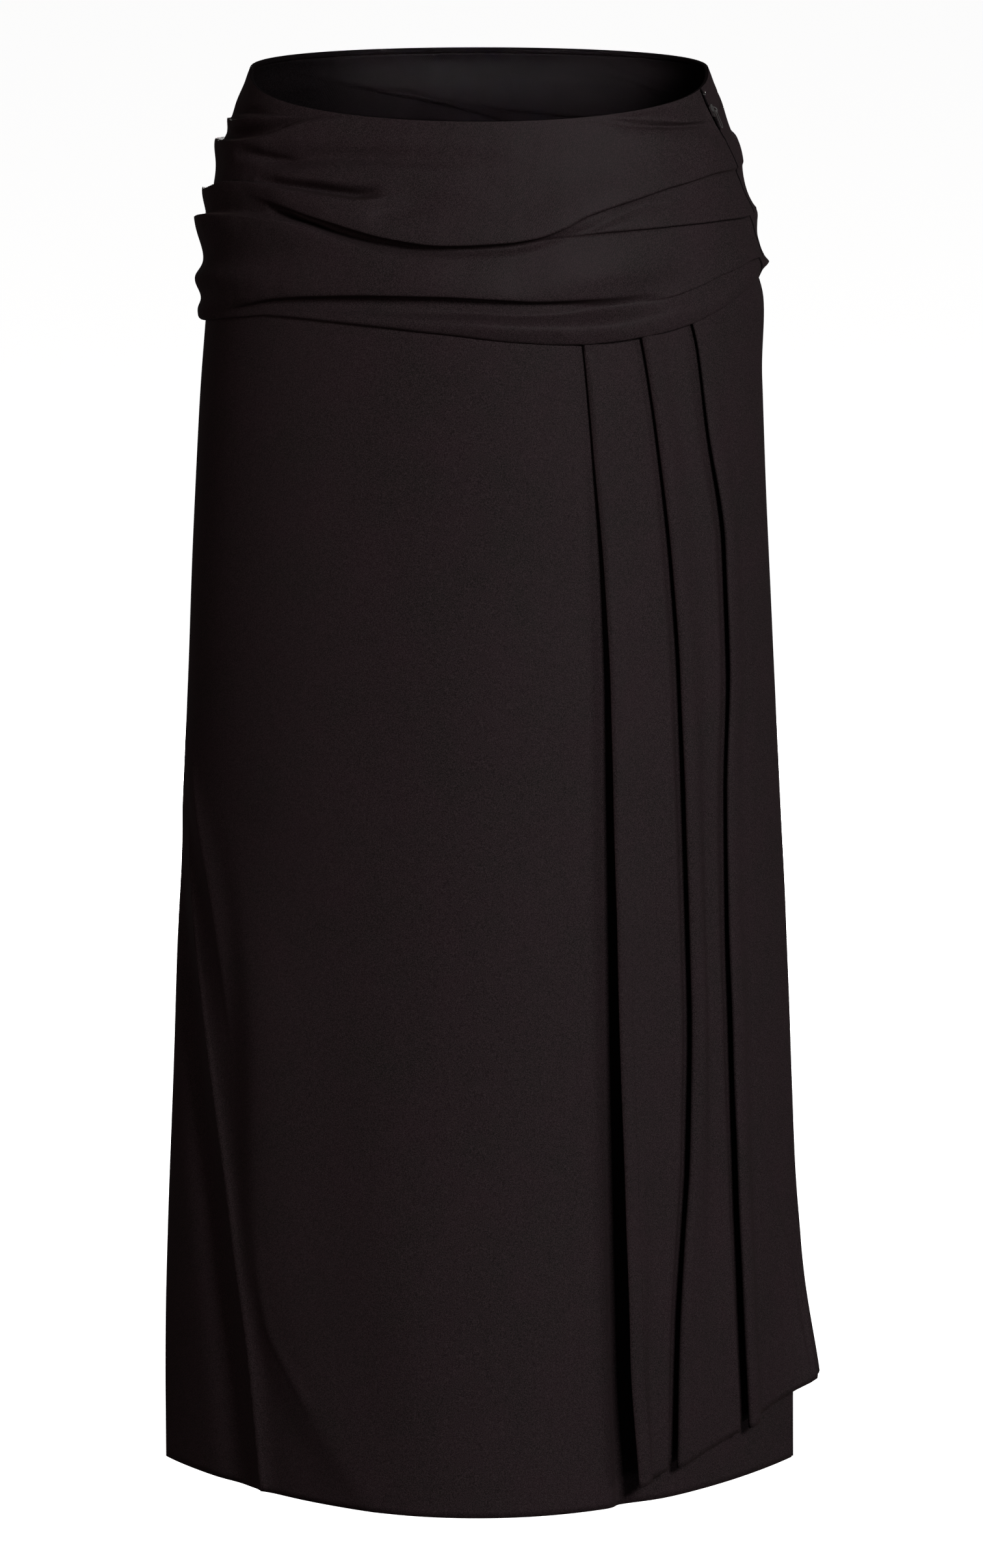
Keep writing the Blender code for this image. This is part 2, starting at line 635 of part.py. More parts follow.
def seam_frame(drop, height):
    """A place on the left seam: X down the seam, Y across it and Z out of the cloth."""
    here = Vector(place(zip_seam_deg(drop), drop, height) * MM)
    lower = Vector(place(zip_seam_deg(drop + 3.0), drop + 3.0, height) * MM)
    upper = Vector(place(zip_seam_deg(drop - 3.0), drop - 3.0, height) * MM)
    down = (lower - upper).normalized()
    out = Vector(skirt_normal(zip_seam_deg(drop), drop))
    out = (out - down * out.dot(down)).normalized()
    across = out.cross(down)
    frame = Matrix((down, across, out)).transposed().to_4x4()
    frame.translation = here
    return frame


# ---- The pieces ----

def seam_to_seam(name, share, drop, left_half_gap):
    """Angles from seam to seam of a front or back piece, for shares from 0 to 1."""
    edge = zip_seam_deg(drop)
    gap = left_half_gap / mm_per_degree(edge, drop)
    right_gap = 0.5 * SEAM_GAP / mm_per_degree(RIGHT_SEAM_DEG, drop)
    if name.startswith("front"):
        first, last = RIGHT_SEAM_DEG + right_gap, edge - gap
    else:
        first, last = edge + gap, RIGHT_SEAM_DEG + 360.0 - right_gap
    return first + (last - first) * share


def make_panels(material):
    """The straight skirt's front and back."""
    for name, spans in (("front_panel", FRONT_PANEL_COLUMNS), ("back_panel", BACK_PANEL_COLUMNS)):
        deg, drop = np.meshgrid(spread(spans), spread(PANEL_ROWS))
        share = (deg - deg[0, 0]) / (deg[0, -1] - deg[0, 0])
        deg = seam_to_seam(name, share, drop, half_seam_gap(drop))
        fitted_wall(name, deg, drop, panel_height, -CLOTH, 0.0, material)


def make_wraps(material):
    """The hip wrap, over each panel."""
    for name, (columns, rows) in (("front_wrap", FRONT_WRAP_STEPS), ("back_wrap", BACK_WRAP_STEPS)):
        share, down = np.meshgrid(np.linspace(0, 1, columns + 1), np.linspace(0, 1, rows + 1))
        drop = down * WRAP_DEPTH
        for _ in range(3):
            deg = seam_to_seam(name, share, drop, 0.5 * ZIP_GAP)
            drop = down * wrap_bottom(deg)
        fitted_wall(name, deg, drop, wrap_height, 0.0, CLOTH, material)


def make_side_drape(material):
    """The free side panel in knife pleats."""
    down = np.linspace(0.0, 1.0, DRAPE_STEPS + 1)
    sheet = []
    for share in down:
        drop = DRAPE_TOP + (DRAPE_HEM_FRONT - DRAPE_TOP) * share
        columns = drape_row(drop)
        top = wrap_bottom(columns[:, 0]) - DRAPE_TUCK
        slanted = top + (drape_hem(columns[:, 0]) - top) * share
        sheet.append(place(columns[:, 0], slanted, columns[:, 1]))
    folded_wall("side_drape", np.array(sheet), CLOTH, material)


def make_zip(tape_material, metal):
    """The concealed zip: its tape inside the seam, and the slider on the seam's lips."""
    drops = np.linspace(1.0, ZIP_LENGTH, TAPE_STEPS[0] + 1)
    offsets = np.linspace(-TAPE_HALF_WIDTH, TAPE_HALF_WIDTH, TAPE_STEPS[1] + 1)
    aside, drop = np.meshgrid(offsets, drops)
    seam = zip_seam_deg(drop)
    deg = seam + aside / mm_per_degree(seam, drop)
    tape_outside = -CLOTH - TAPE_GAP
    fitted_wall(
        "zip_tape", deg, drop, panel_height, tape_outside - TAPE_THICKNESS, tape_outside,
        tape_material)

    outside = float(wrap_height(zip_seam_deg(SLIDER_DROP), SLIDER_DROP)) + CLOTH
    plate_middle = outside + SEAM_GAP + 0.5 * SLIDER_PLATE
    frame = seam_frame(SLIDER_DROP, plate_middle)
    slider = rounded_plate(
        "zip_slider", SLIDER_LENGTH, SLIDER_WIDTH, SLIDER_PLATE, 6, metal)
    slider.matrix_world = frame
    arch = [
        (
            CROWN_HALF_LENGTH * math.cos(math.pi * step / CROWN_STEPS),
            0.0,
            CROWN_FOOT + CROWN_RISE * math.sin(math.pi * step / CROWN_STEPS),
        )
        for step in range(CROWN_STEPS + 1)
    ]
    arch = [(CROWN_HALF_LENGTH, 0.0, 0.0)] + arch + [(-CROWN_HALF_LENGTH, 0.0, 0.0)]
    crown = tube("crown_union", arch, 0.5 * CROWN_WIRE, 8, metal)
    neck_depth = plate_middle + CLOTH
    neck = rounded_plate("neck_union", NECK_LENGTH, NECK_WIDTH, neck_depth, 2, metal)
    neck.matrix_world = frame @ Matrix.Translation((0.0, 0.0, -0.5 * neck_depth * MM))
    crown.matrix_world = frame
    for helper in (crown, neck):
        helper.hide_render = True
        helper.display_type = "WIRE"
        joined = slider.modifiers.new(helper.name, "BOOLEAN")
        joined.operation = "UNION"
        joined.object = helper

    # The pull's empty stands on its hinge axis, which lies across the seam.
    hinge = bpy.data.objects.new("pull_hinge", None)
    bpy.context.scene.collection.objects.link(hinge)
    axis_height = 0.5 * SLIDER_PLATE + PULL_AXIS_HEIGHT
    hinge.matrix_world = frame @ Matrix.Translation(
        (PULL_AXIS_DOWN * MM, 0.0, axis_height * MM))
    pull = rounded_plate(
        "zip_pull", PULL_LENGTH, PULL_WIDTH, PULL_THICKNESS, 8, metal,
        slot=(PULL_LENGTH - 2 * PULL_BAR, PULL_SLOT_WIDTH))
    pull.parent = hinge
    pull.location = ((0.5 * PULL_LENGTH - 0.5 * PULL_BAR) * MM, 0.0, 0.0)


def make_waist_hook(metal):
    """A wire hook over the seam at the waist edge, above the zip."""
    outside = float(wrap_height(zip_seam_deg(HOOK_DROP), HOOK_DROP)) + CLOTH
    frame = seam_frame(HOOK_DROP, outside + SEAM_GAP + 0.5 * HOOK_WIRE)
    path = []
    for step in range(HOOK_STEPS + 1):
        angle = math.pi * step / HOOK_STEPS - 0.5 * math.pi
        path.append(
            (HOOK_BEND * math.cos(angle) - HOOK_BACK, HOOK_REACH * 0.5 * math.sin(angle), 0.0))
    hook = tube("waist_hook", path, 0.5 * HOOK_WIRE, 8, metal)
    hook.matrix_world = frame


def main():
    for item in list(bpy.data.objects):
        bpy.data.objects.remove(item, do_unlink=True)
    satin = cloth_material("black_satin_crepe", (0.012, 0.010, 0.011))
    tape = cloth_material("black_tape", (0.010, 0.009, 0.010))
    silver = metal_material("silver_metal", (0.72, 0.72, 0.73))
    make_panels(satin)
    make_wraps(satin)
    make_side_drape(satin)
    make_zip(tape, silver)
    make_waist_hook(silver)


main()
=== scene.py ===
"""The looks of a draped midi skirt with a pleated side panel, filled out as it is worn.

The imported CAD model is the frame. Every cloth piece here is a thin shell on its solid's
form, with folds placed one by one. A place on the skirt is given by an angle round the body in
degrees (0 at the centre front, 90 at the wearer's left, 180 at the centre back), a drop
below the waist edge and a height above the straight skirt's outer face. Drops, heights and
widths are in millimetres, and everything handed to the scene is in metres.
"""

import math
from collections import namedtuple

import bpy
import numpy as np
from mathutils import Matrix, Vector


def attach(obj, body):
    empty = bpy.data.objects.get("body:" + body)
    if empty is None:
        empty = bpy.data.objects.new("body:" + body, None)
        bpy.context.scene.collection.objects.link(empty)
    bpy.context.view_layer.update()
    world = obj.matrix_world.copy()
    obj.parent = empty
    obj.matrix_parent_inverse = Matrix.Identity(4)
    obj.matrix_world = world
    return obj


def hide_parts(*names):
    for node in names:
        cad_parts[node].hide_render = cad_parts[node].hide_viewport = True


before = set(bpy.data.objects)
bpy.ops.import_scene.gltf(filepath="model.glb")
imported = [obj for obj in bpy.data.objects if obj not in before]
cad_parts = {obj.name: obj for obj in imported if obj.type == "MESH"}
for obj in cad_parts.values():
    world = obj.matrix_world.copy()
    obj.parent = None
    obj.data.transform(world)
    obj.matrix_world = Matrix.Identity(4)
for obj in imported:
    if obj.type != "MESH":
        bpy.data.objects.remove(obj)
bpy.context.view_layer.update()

MM = 0.001

# Driving dimensions, in millimetres, as the CAD has them
SKIRT_LENGTH = 836.5
WAIST_DIP = 18.0
CLOTH = 1.2
LAYER_GAP = 0.4
ZIP_LENGTH = 190.0
RIGHT_SEAM_DEG = -97.0
SLIDER_DROP = 14.0

# The looks' own sizes, in millimetres
SHELL = 0.8  # thickness of a cloth shell
TAPE = 0.7  # and of the zip's tape
SEAM_LINE = 0.25  # half the gap along a closed seam
RIGHT_SEAM_LINE = 0.1  # and along the right seam, which has no zip
WRAP_SEAM_LINE = 0.4  # and along the wrap's left seam, below the slot
SLOT_HALF_WIDTH = 0.9  # of the open slot beside the zip's pull
SLOT_CLOSES = 21.0  # drop where the slot starts to narrow
SLOT_END = 28.0  # and where it is closed
SEAM_ROLL = 0.8  # how far cloth turns in along a seam
SEAM_LAP = 4.0  # width of the back's seam allowance, pressed behind the front
LAP_DEPTH = 2.2  # how far in it lies
LAP_DEPTH_BY_WRAP = 1.4  # and where the wrap covers the seam
LAP_FROM_RIGHT = (34.0, 44.0)  # drops over which it starts, at the right seam
LAP_FROM_LEFT = (ZIP_LENGTH + 6.0, ZIP_LENGTH + 16.0)  # and at the left, under the zip
BELOW_WRAP = (100.0, 120.0)  # drops over which the side seams come out from the wrap
EDGE_RISE = 0.4  # how far the wrap rises over the waist edge
EDGE_INSIDE = -1.0  # height of the turned waist edge's inner face
EDGE_OUTSIDE = 1.15  # and of its outer face
WAIST_TURN = 2.55  # depth of the edge turned in at the waist
PANEL_TOP = 2.6  # drop where the skirt's panels start, under that edge
HEM_ROLL = 2.2  # how far the wrap's lower edge curls under
HEM_SINKS = 0.2  # how much the hem sinks in a fold, per millimetre of depth
HEM_ZONE = 780.0  # drop where it starts to
RIPPLE_STARTS = (150.0, 320.0)  # drops over which the skirt's unevenness starts
LEAST_WRAP_HEIGHT = 1.25  # the wrap's outer face stays this far above the skirt's
LEAST_WRAP_ROUNDING = 0.5  # and eases off to that height over about this much
UNDER_WRAP = 3.8  # how far the skirt is held in under the wrap's creases
OFF_WAIST = (6.0, 20.0)  # distances over which that starts, from the waist edge
OFF_FOOT = (4.0, 15.0)  # from the wrap's lower edge
OFF_ZIP = (9.0, 22.0)  # and from the zip
INSIDE_ENDS = (52.0, 66.0)  # drops over which the creases inside the waist end
ARC = 2.9  # millimetres of cloth to a degree, about, where it needn't be exact

Section = namedtuple("Section", "drop half_width front_depth back_depth depth_power")
SECTIONS = (
    Section(0.0, 132.0, 92.0, 92.0, 0.38),
    Section(30.0, 141.5, 99.0, 101.0, 0.40),
    Section(60.0, 150.5, 104.0, 110.0, 0.43),
    Section(90.0, 155.0, 107.0, 117.0, 0.46),
    Section(120.0, 157.5, 109.0, 121.0, 0.49),
    Section(150.0, 160.0, 110.0, 124.0, 0.51),
    Section(190.0, 163.2, 111.0, 126.0, 0.54),
    Section(250.0, 166.7, 112.0, 126.0, 0.57),
    Section(375.0, 172.3, 116.0, 126.0, 0.62),
    Section(500.0, 178.0, 120.0, 127.0, 0.68),
    Section(630.0, 183.2, 124.0, 128.0, 0.76),
    Section(756.0, 187.8, 128.0, 129.0, 0.85),
    Section(SKIRT_LENGTH, 188.2, 129.0, 130.0, 0.93),
)

SeamPoint = namedtuple("SeamPoint", "drop deg")
ZIP_SEAM = (
    SeamPoint(0.0, 73.6),
    SeamPoint(12.0, 74.5),
    SeamPoint(24.0, 75.9),
    SeamPoint(36.0, 77.1),
    SeamPoint(50.0, 78.9),
    SeamPoint(65.0, 82.2),
    SeamPoint(80.0, 84.6),
    SeamPoint(100.0, 85.0),
    SeamPoint(SKIRT_LENGTH, 85.0),
)

EdgePoint = namedtuple("EdgePoint", "deg drop")
WRAP_EDGE = (
    EdgePoint(-97.0, 149.0),
    EdgePoint(-88.0, 146.0),
    EdgePoint(-60.0, 129.0),
    EdgePoint(-49.0, 122.8),
    EdgePoint(-37.0, 120.5),
    EdgePoint(-26.0, 120.0),
    EdgePoint(-8.0, 122.5),
    EdgePoint(8.0, 127.6),
    EdgePoint(21.0, 130.5),
    EdgePoint(34.0, 129.5),
    EdgePoint(49.0, 126.8),
    EdgePoint(57.0, 123.4),
    EdgePoint(72.0, 118.4),
    EdgePoint(88.0, 119.0),
    EdgePoint(110.0, 124.0),
    EdgePoint(150.0, 137.0),
    EdgePoint(195.0, 146.0),
    EdgePoint(230.0, 149.0),
    EdgePoint(263.0, 149.0),
)

# A fold follows its knots. A fold that runs round the body falls away over first_side above
# it and second_side below it, and lean pushes its crest down over what is below, or up if
# negative. One that runs down the skirt falls away over first_side on the side of smaller
# angles and second_side on the other. A height below zero makes a trough.
Fold = namedtuple("Fold", "name first_side second_side lean knots")
Knot = namedtuple("Knot", "deg drop height")


def fold(name, first_side, second_side, lean, *rows):
    """A fold from its widths, its lean and a row for each knot: angle, drop and height."""
    return Fold(name, first_side, second_side, lean, tuple(Knot(*row) for row in rows))


# Slight unevenness: its height, and its size from one swell to the next
Ripple = namedtuple("Ripple", "height size")
PANEL_RIPPLE = Ripple(0.35, 62.0)
WRAP_RIPPLE = Ripple(0.28, 21.0)
WRAP_FINE_RIPPLE = Ripple(0.12, 8.0)
DRAPE_RIPPLE = Ripple(0.5, 40.0)
DRAPE_FINE_RIPPLE = Ripple(0.16, 9.0)

WRAP_DEPTH = 130.0  # about how deep the wrap is
WRAP_SLACK = 1.0  # how far off the skirt it hangs
WRAP_EASES = 24.0  # depth over which it leaves the skirt below the waist edge
WRAP_HELD = 4.0  # and over which its folds start
WRAP_HUGS = 1.5  # how much closer it lies at its lower edge, beside the pleats
WRAP_HUG_ZONE = 14.0  # and over what height
LIFTED_BY_PLEATS = ((15.0, 20.0), (102.0, 110.0))  # angles between which they lift it
OVER_PLEATS = ((19.0, 23.0), (96.0, 104.0))  # and between which its edge lies on them
LESS_CURL = 0.75  # share of that edge's curl that is missing there
EDGE_STEPS = 9  # parts of its turn over the waist edge
CLOSE_COLUMNS = (0.0, 0.12, 0.3, 0.55, 0.85, 1.3, 2.0)  # distances from its side edges
CLOSE_ROWS = (2.6, 1.9, 1.3, 0.85, 0.5, 0.2)  # and from its lower edge
PAINTED_SHADE_COLUMNS = 3  # how many of them show the cloth's inside at the zip's seam, in the darker satin copy that paints shade
WRAP_FOLDS = (
    # Gathered into the wearer's right seam, running on round the back
    fold("shoulder", 1.5, 6.5, -1.8,
        (-112, 40, 0.0), (-91, 32, 2.4), (-76, 22.2, 3.2), (-65, 14.6, 3.2), (-53, 8.6, 2.8),
        (-44, 5, 2.0), (-34, 2.4, 0.8), (-25, 1, 0.0)),
    fold("rim_shadow", 2.0, 2.4, 0.0,
        (-92, 26, 0.0), (-83, 18.6, -2.6), (-70, 10.9, -3.4), (-60, 6.6, -3.2),
        (-49, 3.8, -2.4), (-41, 2.5, 0.0)),
    fold("gather_shadow", 3.8, 2.4, 0.0,
        (-96, 40, 0.0), (-84, 34, -3.4), (-70, 25.2, -5.6), (-58, 16.8, -5.2), (-50, 9.5, -2.8),
        (-43, 5, 0.0)),
    fold("upper_gather", 2.1, 9.0, -2.4,
        (-150, 56, 0.0), (-91, 46, 5.4), (-80, 38, 4.8), (-68, 30.5, 4.4), (-59, 23, 3.8),
        (-53, 16.5, 3.0), (-46, 10, 2.0), (-37, 4.5, 0.8), (-30, 2, 0.0)),
    fold("gather_pit", 3.2, 3.0, 0.0,
        (-72, 39, 0.0), (-63, 34.5, -3.8), (-54, 33, -5.0), (-49, 32.5, -3.6), (-42, 30, -1.0),
        (-36, 28, 0.0)),
    fold("upper_hollow", 6.0, 4.0, 0.0,
        (-60, 33, 0.0), (-48, 29, -3.2), (-38, 25.4, -3.6), (-24, 22.8, -3.2),
        (-13, 22.3, -2.4), (-4, 22.0, -1.4), (7, 21.8, 0.0)),
    fold("upper_ridge", 1.6, 11.0, -3.6,
        (-160, 90, 0.0), (-120, 82, 3.5), (-90, 74, 6.4), (-69, 55.8, 5.0), (-54, 49.6, 4.6),
        (-42, 47.5, 4.4), (-34, 47.5, 4.2), (-28, 47.8, 3.6), (-24, 46.6, 2.6), (-20, 44, 1.0),
        (-15, 42, 0.0)),
    fold("ridge_shadow", 3.4, 2.6, 0.0,
        (-60, 47.6, 0.0), (-48, 44.6, -5.4), (-38, 43.5, -8.2), (-29, 43.9, -7.4),
        (-22, 41.4, 0.0)),
    fold("ridge_foot", 5.0, 5.0, 0.0,
        (-36, 53, 0.0), (-28, 52, -1.2), (-21, 51.5, -1.8), (-12, 46.5, -1.2), (-2, 44, 0.0)),
    fold("main_gather", 2.4, 15.0, -2.4,
        (-165, 112, 0.0), (-120, 102, 5.0), (-91, 91, 8.2), (-84, 85.4, 7.8), (-76, 79.0, 7.0),
        (-69, 74.8, 6.2), (-61, 70.6, 5.6), (-54, 68.4, 5.0), (-48, 67.1, 4.6),
        (-41, 67.4, 4.0), (-34, 70.6, 3.0), (-20, 78, 1.6), (-5, 83, 0.6), (10, 85, 0.0)),
    fold("low_gather", 7.0, 8.0, 0.0,
        (-160, 132, 0.0), (-90, 123, 5.6), (-72, 111, 3.4), (-50, 99, 1.6), (-30, 92, 0.0)),
    # Across the front
    fold("upper_front", 8.0, 9.0, 0.0,
        (-62, 42, 0.0), (-40, 36, 1.4), (-18, 33, 0.9), (2, 31, 0.0)),
    fold("centre_lip", 17.0, 2.2, 3.4,
        (-61, 56.5, 0.0), (-54, 55.8, 0.9), (-47, 55.9, 3.2), (-36, 57.9, 5.0),
        (-28, 60.8, 5.4), (-20, 64.0, 5.6), (-8, 66.8, 5.6), (5, 65.6, 5.4), (12, 63, 5.2),
        (18.5, 58, 5.0), (24.5, 52, 4.8), (36, 46.5, 4.4), (48, 43, 4.0), (60, 42.5, 3.6),
        (80, 49, 2.2), (96, 57, 0.0)),
    fold("lip_shadow", 2.8, 2.8, 0.0,
        (-52.5, 59.8, 0.0), (-49, 60.0, -3.4), (-43, 61.9, -7.0), (-36, 64.9, -7.8),
        (-28, 68.2, -7.6), (-20, 70.8, -6.6), (-8, 72.9, -4.2), (5, 72.2, -3.2), (20, 65, -1.6),
        (40, 53, -0.8), (76, 57, 0.0)),
    fold("front_swell", 17.0, 2.8, 3.6,
        (-72, 132, 0.0), (-64, 124, 1.6), (-57, 117.2, 2.6), (-47, 108.4, 3.4),
        (-37, 102.8, 4.0), (-22, 97.6, 5.0), (-8, 96.2, 5.4), (3, 97.8, 5.0), (13, 100.6, 3.6),
        (22, 101.6, 2.6), (32, 103, 1.4), (44, 104, 0.0)),
    fold("swell_right", 14.0, 9.0, 0.0,
        (8, 92, 0.0), (22, 90, 1.8), (40, 89, 2.0), (60, 90, 1.0), (74, 94, 0.0)),
    fold("roll_shadow", 4.0, 6.4, 0.0,
        (-80, 139, 0.0), (-70, 131.6, -2.6), (-60, 123.0, -3.2), (-49, 115.6, -4.2),
        (-37, 109.8, -5.4), (-26, 107.2, -8.4), (-15, 105.6, -11.6), (-4, 105.4, -12.0),
        (8, 107.4, -10.6), (20, 109.0, -7.0), (30, 110, -4.0), (42, 110, 0.0)),
    fold("middle_pleat", 9.0, 1.9, 2.6,
        (5, 66.8, 0.0), (15, 65.8, 1.4), (28, 63.9, 2.8), (43, 65.0, 3.4), (61, 68.8, 4.0),
        (74, 73.8, 4.2), (84, 78.4, 3.8), (97, 85, 0.0)),
    fold("lower_pleat", 10.0, 1.8, 3.2,
        (36, 108, 0.0), (44, 106.6, 1.8), (53, 103.0, 3.2), (61, 99.8, 4.0), (72, 99.0, 4.4),
        (84, 103, 4.4), (98, 111, 0.0)),
    fold("lower_roll", 5.5, 9.0, 0.0,
        (-130, 146, 0.0), (-90, 142, 3.6), (-73, 134, 2.6), (-60, 126, 2.4), (-49, 119.4, 2.8),
        (-37, 116.0, 3.0), (-20, 115.4, 3.2), (-4, 116.4, 3.2), (8, 119, 3.0), (22, 121, 2.2),
        (36, 120, 1.2), (60, 117, 0.9), (84, 113, 1.1), (105, 122, 2.6), (150, 134, 2.0),
        (195, 142, 0.0)),
    fold("over_pleats", 9.0, 30.0, 0.0,
        (20, 121, 0.0), (32, 120, 4.2), (47, 118, 4.4), (61, 114, 4.4), (75, 110, 3.8),
        (88, 110, 3.4), (98, 112, 3.0), (110, 117, 0.0)),
    # By the zip
    fold("top_line", 1.3, 1.3, 0.0,
        (24, 1, 0.0), (31, 2.6, -1.4), (43, 8.6, -2.4), (51, 11.9, -2.4), (57, 14.0, -2.0),
        (64, 16.6, -1.4), (73, 20, 0.0)),
    fold("top_band", 4.5, 2.2, 1.6,
        (30, 0, 0.0), (43, 4.2, 1.4), (52, 7.6, 2.0), (58, 10.4, 2.2), (64, 12.6, 1.8),
        (72, 16, 0.0)),
    fold("left_top", 5.0, 12.0, 0.0,
        (30, 9, 0.0), (52, 19, 1.4), (62, 24, 1.4), (73, 33, 0.6), (90, 42, 0.0)),
    fold("short_crease", 2.0, 2.6, 0.0,
        (61, 97, 0.0), (70, 94, 0.8), (80, 95, 0.7), (91, 100, 0.0)),
    fold("fine_1", 2.2, 1.6, 0.0,
        (61, 41, 0.0), (66, 34, 0.5), (72, 28, 0.5), (76, 25, 0.0)),
    fold("fine_2", 1.8, 1.8, 0.0,
        (64, 46, 0.0), (69, 39, 0.4), (75, 33, 0.4), (79, 30, 0.0)),
    fold("fine_3", 2.0, 2.0, 0.0,
        (50, 63, 0.0), (58, 60, 0.5), (66, 59, 0.4), (74, 57, 0.0)),
    fold("fine_4", 1.8, 2.4, 0.0,
        (46, 92, 0.0), (55, 88, 0.5), (64, 87, 0.4), (72, 88, 0.0)),
    # Round the back from the left seam
    fold("top_flap", 1.2, 1.6, 0.0,
        (77, 21.5, 0.0), (80, 20.8, -1.3), (84, 19.2, -1.6), (88, 17.2, -1.4), (93, 13, -0.8),
        (98, 7, 0.0)),
    fold("back_loop_1", 6.0, 9.0, -1.6,
        (80, 52, 0.0), (86, 50, 0.9), (91, 47.5, 2.2), (97, 46, 3.2), (106, 47, 3.8),
        (122, 54, 4.0), (150, 62, 2.8), (182, 68, 0.0)),
    fold("back_loop_2", 8.5, 9.0, -2.0,
        (80, 89, 0.0), (85, 89, 2.2), (90, 88.5, 4.6), (96, 89, 5.8), (120, 96, 5.0),
        (155, 100, 3.4), (190, 106, 0.0)),
    fold("back_tab", 4.5, 4.0, 2.0,
        (84, 111, 0.0), (89, 112.5, 4.2), (94, 113, 5.4), (102, 114, 4.6), (124, 118, 0.0)),
    fold("back_swell", 12.0, 12.0, 0.0,
        (125, 22, 0.0), (160, 30, 1.6), (200, 32, 1.8), (240, 22, 0.0)),
    fold("back_lip", 15.0, 5.0, 4.0,
        (128, 76, 0.0), (150, 80, 2.2), (176, 86, 3.6), (204, 84, 3.8), (228, 76, 2.4),
        (250, 66, 0.0)),
    fold("back_low_lip", 14.0, 5.0, 3.0,
        (118, 112, 0.0), (140, 116, 2.0), (170, 122, 3.0), (200, 124, 2.6), (230, 120, 0.0)),
    fold("back_fine", 3.0, 3.0, 0.0,
        (196, 56, 0.0), (212, 53, 0.7), (232, 46, 0.8), (248, 40, 0.0)),
)

# The slit of the back's first loop, which runs down beside the zip's seam
WRAP_SLITS = (
    fold("loop_slit", 1.7, 1.0, 0.0,
        (86.6, 31, 0.0), (88.2, 36, -1.8), (88.8, 42, -2.6), (88.0, 47.5, -2.6),
        (85.6, 51, -1.8), (82.0, 54, 0.0)),
)

# The straight skirt's own soft folds, which run down it
PANEL_FOLDS = (
    fold("side_crease", 10.0, 9.0, 0.0,
        (-84, 385, 0.0), (-69, 442, 1.6), (-60, 490, 2.0), (-54, 560, 0.0)),
    fold("side_trough", 12.0, 12.0, 0.0,
        (-88, 440, 0.0), (-80, 500, -2.6), (-73.3, 542, -4.0), (-67.2, 606, -4.8),
        (-59.5, 676, -5.2), (-53.6, 753, -4.8), (-50.5, 819, -3.2), (-50, SKIRT_LENGTH, -2.6)),
    fold("side_fold", 5.0, 6.0, 0.0,
        (-78, 440, 0.0), (-71.3, 490, 1.0), (-64.4, 545, 1.4), (-57.2, 610, 1.7),
        (-50.2, 687, 2.0), (-46, 747, 2.4), (-42.5, SKIRT_LENGTH, 2.2)),
    fold("side_fold_line", 1.1, 1.6, 0.0,
        (-78, 440, 0.0), (-71.3, 490, 1.1), (-64.4, 545, 1.5), (-57.2, 610, 1.7),
        (-50.2, 687, 1.8), (-46, 747, 1.8), (-42.5, SKIRT_LENGTH, 1.6)),
    fold("side_edge", 17.0, 34.0, 0.0,
        (-54, 430, 0.0), (-48.8, 493, 2.6), (-45.1, 557, 4.4), (-44, 635, 4.9),
        (-43.0, 690, 4.6), (-40.2, 727, 3.6), (-34.9, 763, 2.8), (-24.6, 811, 2.2),
        (-19, SKIRT_LENGTH, 2.0)),
    fold("second_line", 1.8, 3.0, 0.0,
        (-79, 385, 0.0), (-69, 442, 0.6), (-63, 474, 0.6), (-57, 520, 0.5), (-53, 575, 0.0)),
    fold("hem_crease_line", 2.4, 5.0, 0.0,
        (-44.5, 670, 0.0), (-41.6, 727, 0.6), (-34.9, 763, 0.9), (-24.6, 811, 0.9),
        (-19, SKIRT_LENGTH, 0.7)),
    fold("edge_hollow", 7.5, 17.0, 0.0,
        (23.6, 190, -0.4), (25.4, 300, -2.6), (25.8, 420, -4.6), (25.8, 530, -6.2),
        (26.1, 635, -8.0), (26.4, 735, -9.2), (27.6, SKIRT_LENGTH, -8.6)),
    fold("front_soft", 22.0, 30.0, 0.0,
        (-20, 480, 0.0), (-17, 640, 1.2), (-12, 760, 1.8), (-10, SKIRT_LENGTH, 1.6)),
    fold("back_fold_right", 16.0, 16.0, 0.0,
        (222, 330, 0.0), (220, 520, 3.0), (219, 700, 4.6), (218, SKIRT_LENGTH, 5.4)),
    fold("back_hollow", 24.0, 24.0, 0.0,
        (184, 300, 0.0), (188, 520, -2.6), (190, 700, -4.0), (190, SKIRT_LENGTH, -4.4)),
    fold("back_fold_left", 15.0, 15.0, 0.0,
        (146, 280, 0.0), (150, 520, 3.0), (152, 700, 4.4), (153, SKIRT_LENGTH, 5.0)),
)

# The back panel's creases that show inside the waist. They bulge inwards.
INSIDE_FOLDS = (
    fold("inside_long", 13.0, 3.0, 2.0,
        (160, 50, 0.0), (170, 43, -1.8), (180, 34, -2.4), (193, 26, -2.4), (205, 20.5, -2.0),
        (227, 10.5, -1.2), (240, 6, 0.0)),
    fold("inside_middle", 8.0, 2.6, 1.6,
        (142, 42, 0.0), (156, 37, -1.8), (167, 33, -2.2), (178, 29, -1.8), (188, 24.5, -0.8),
        (193, 22, 0.0)),
    fold("inside_left", 6.0, 3.0, 1.0,
        (112, 27, 0.0), (122, 22, -1.2), (129, 18, -1.6), (139, 13, -1.4), (149, 10.5, -0.6),
        (156, 9, 0.0)),
    fold("inside_top", 4.0, 2.4, 0.5,
        (104, 21, 0.0), (114, 17, -0.8), (128, 12.5, -1.0), (140, 8, -0.9), (150, 3, 0.0)),
)

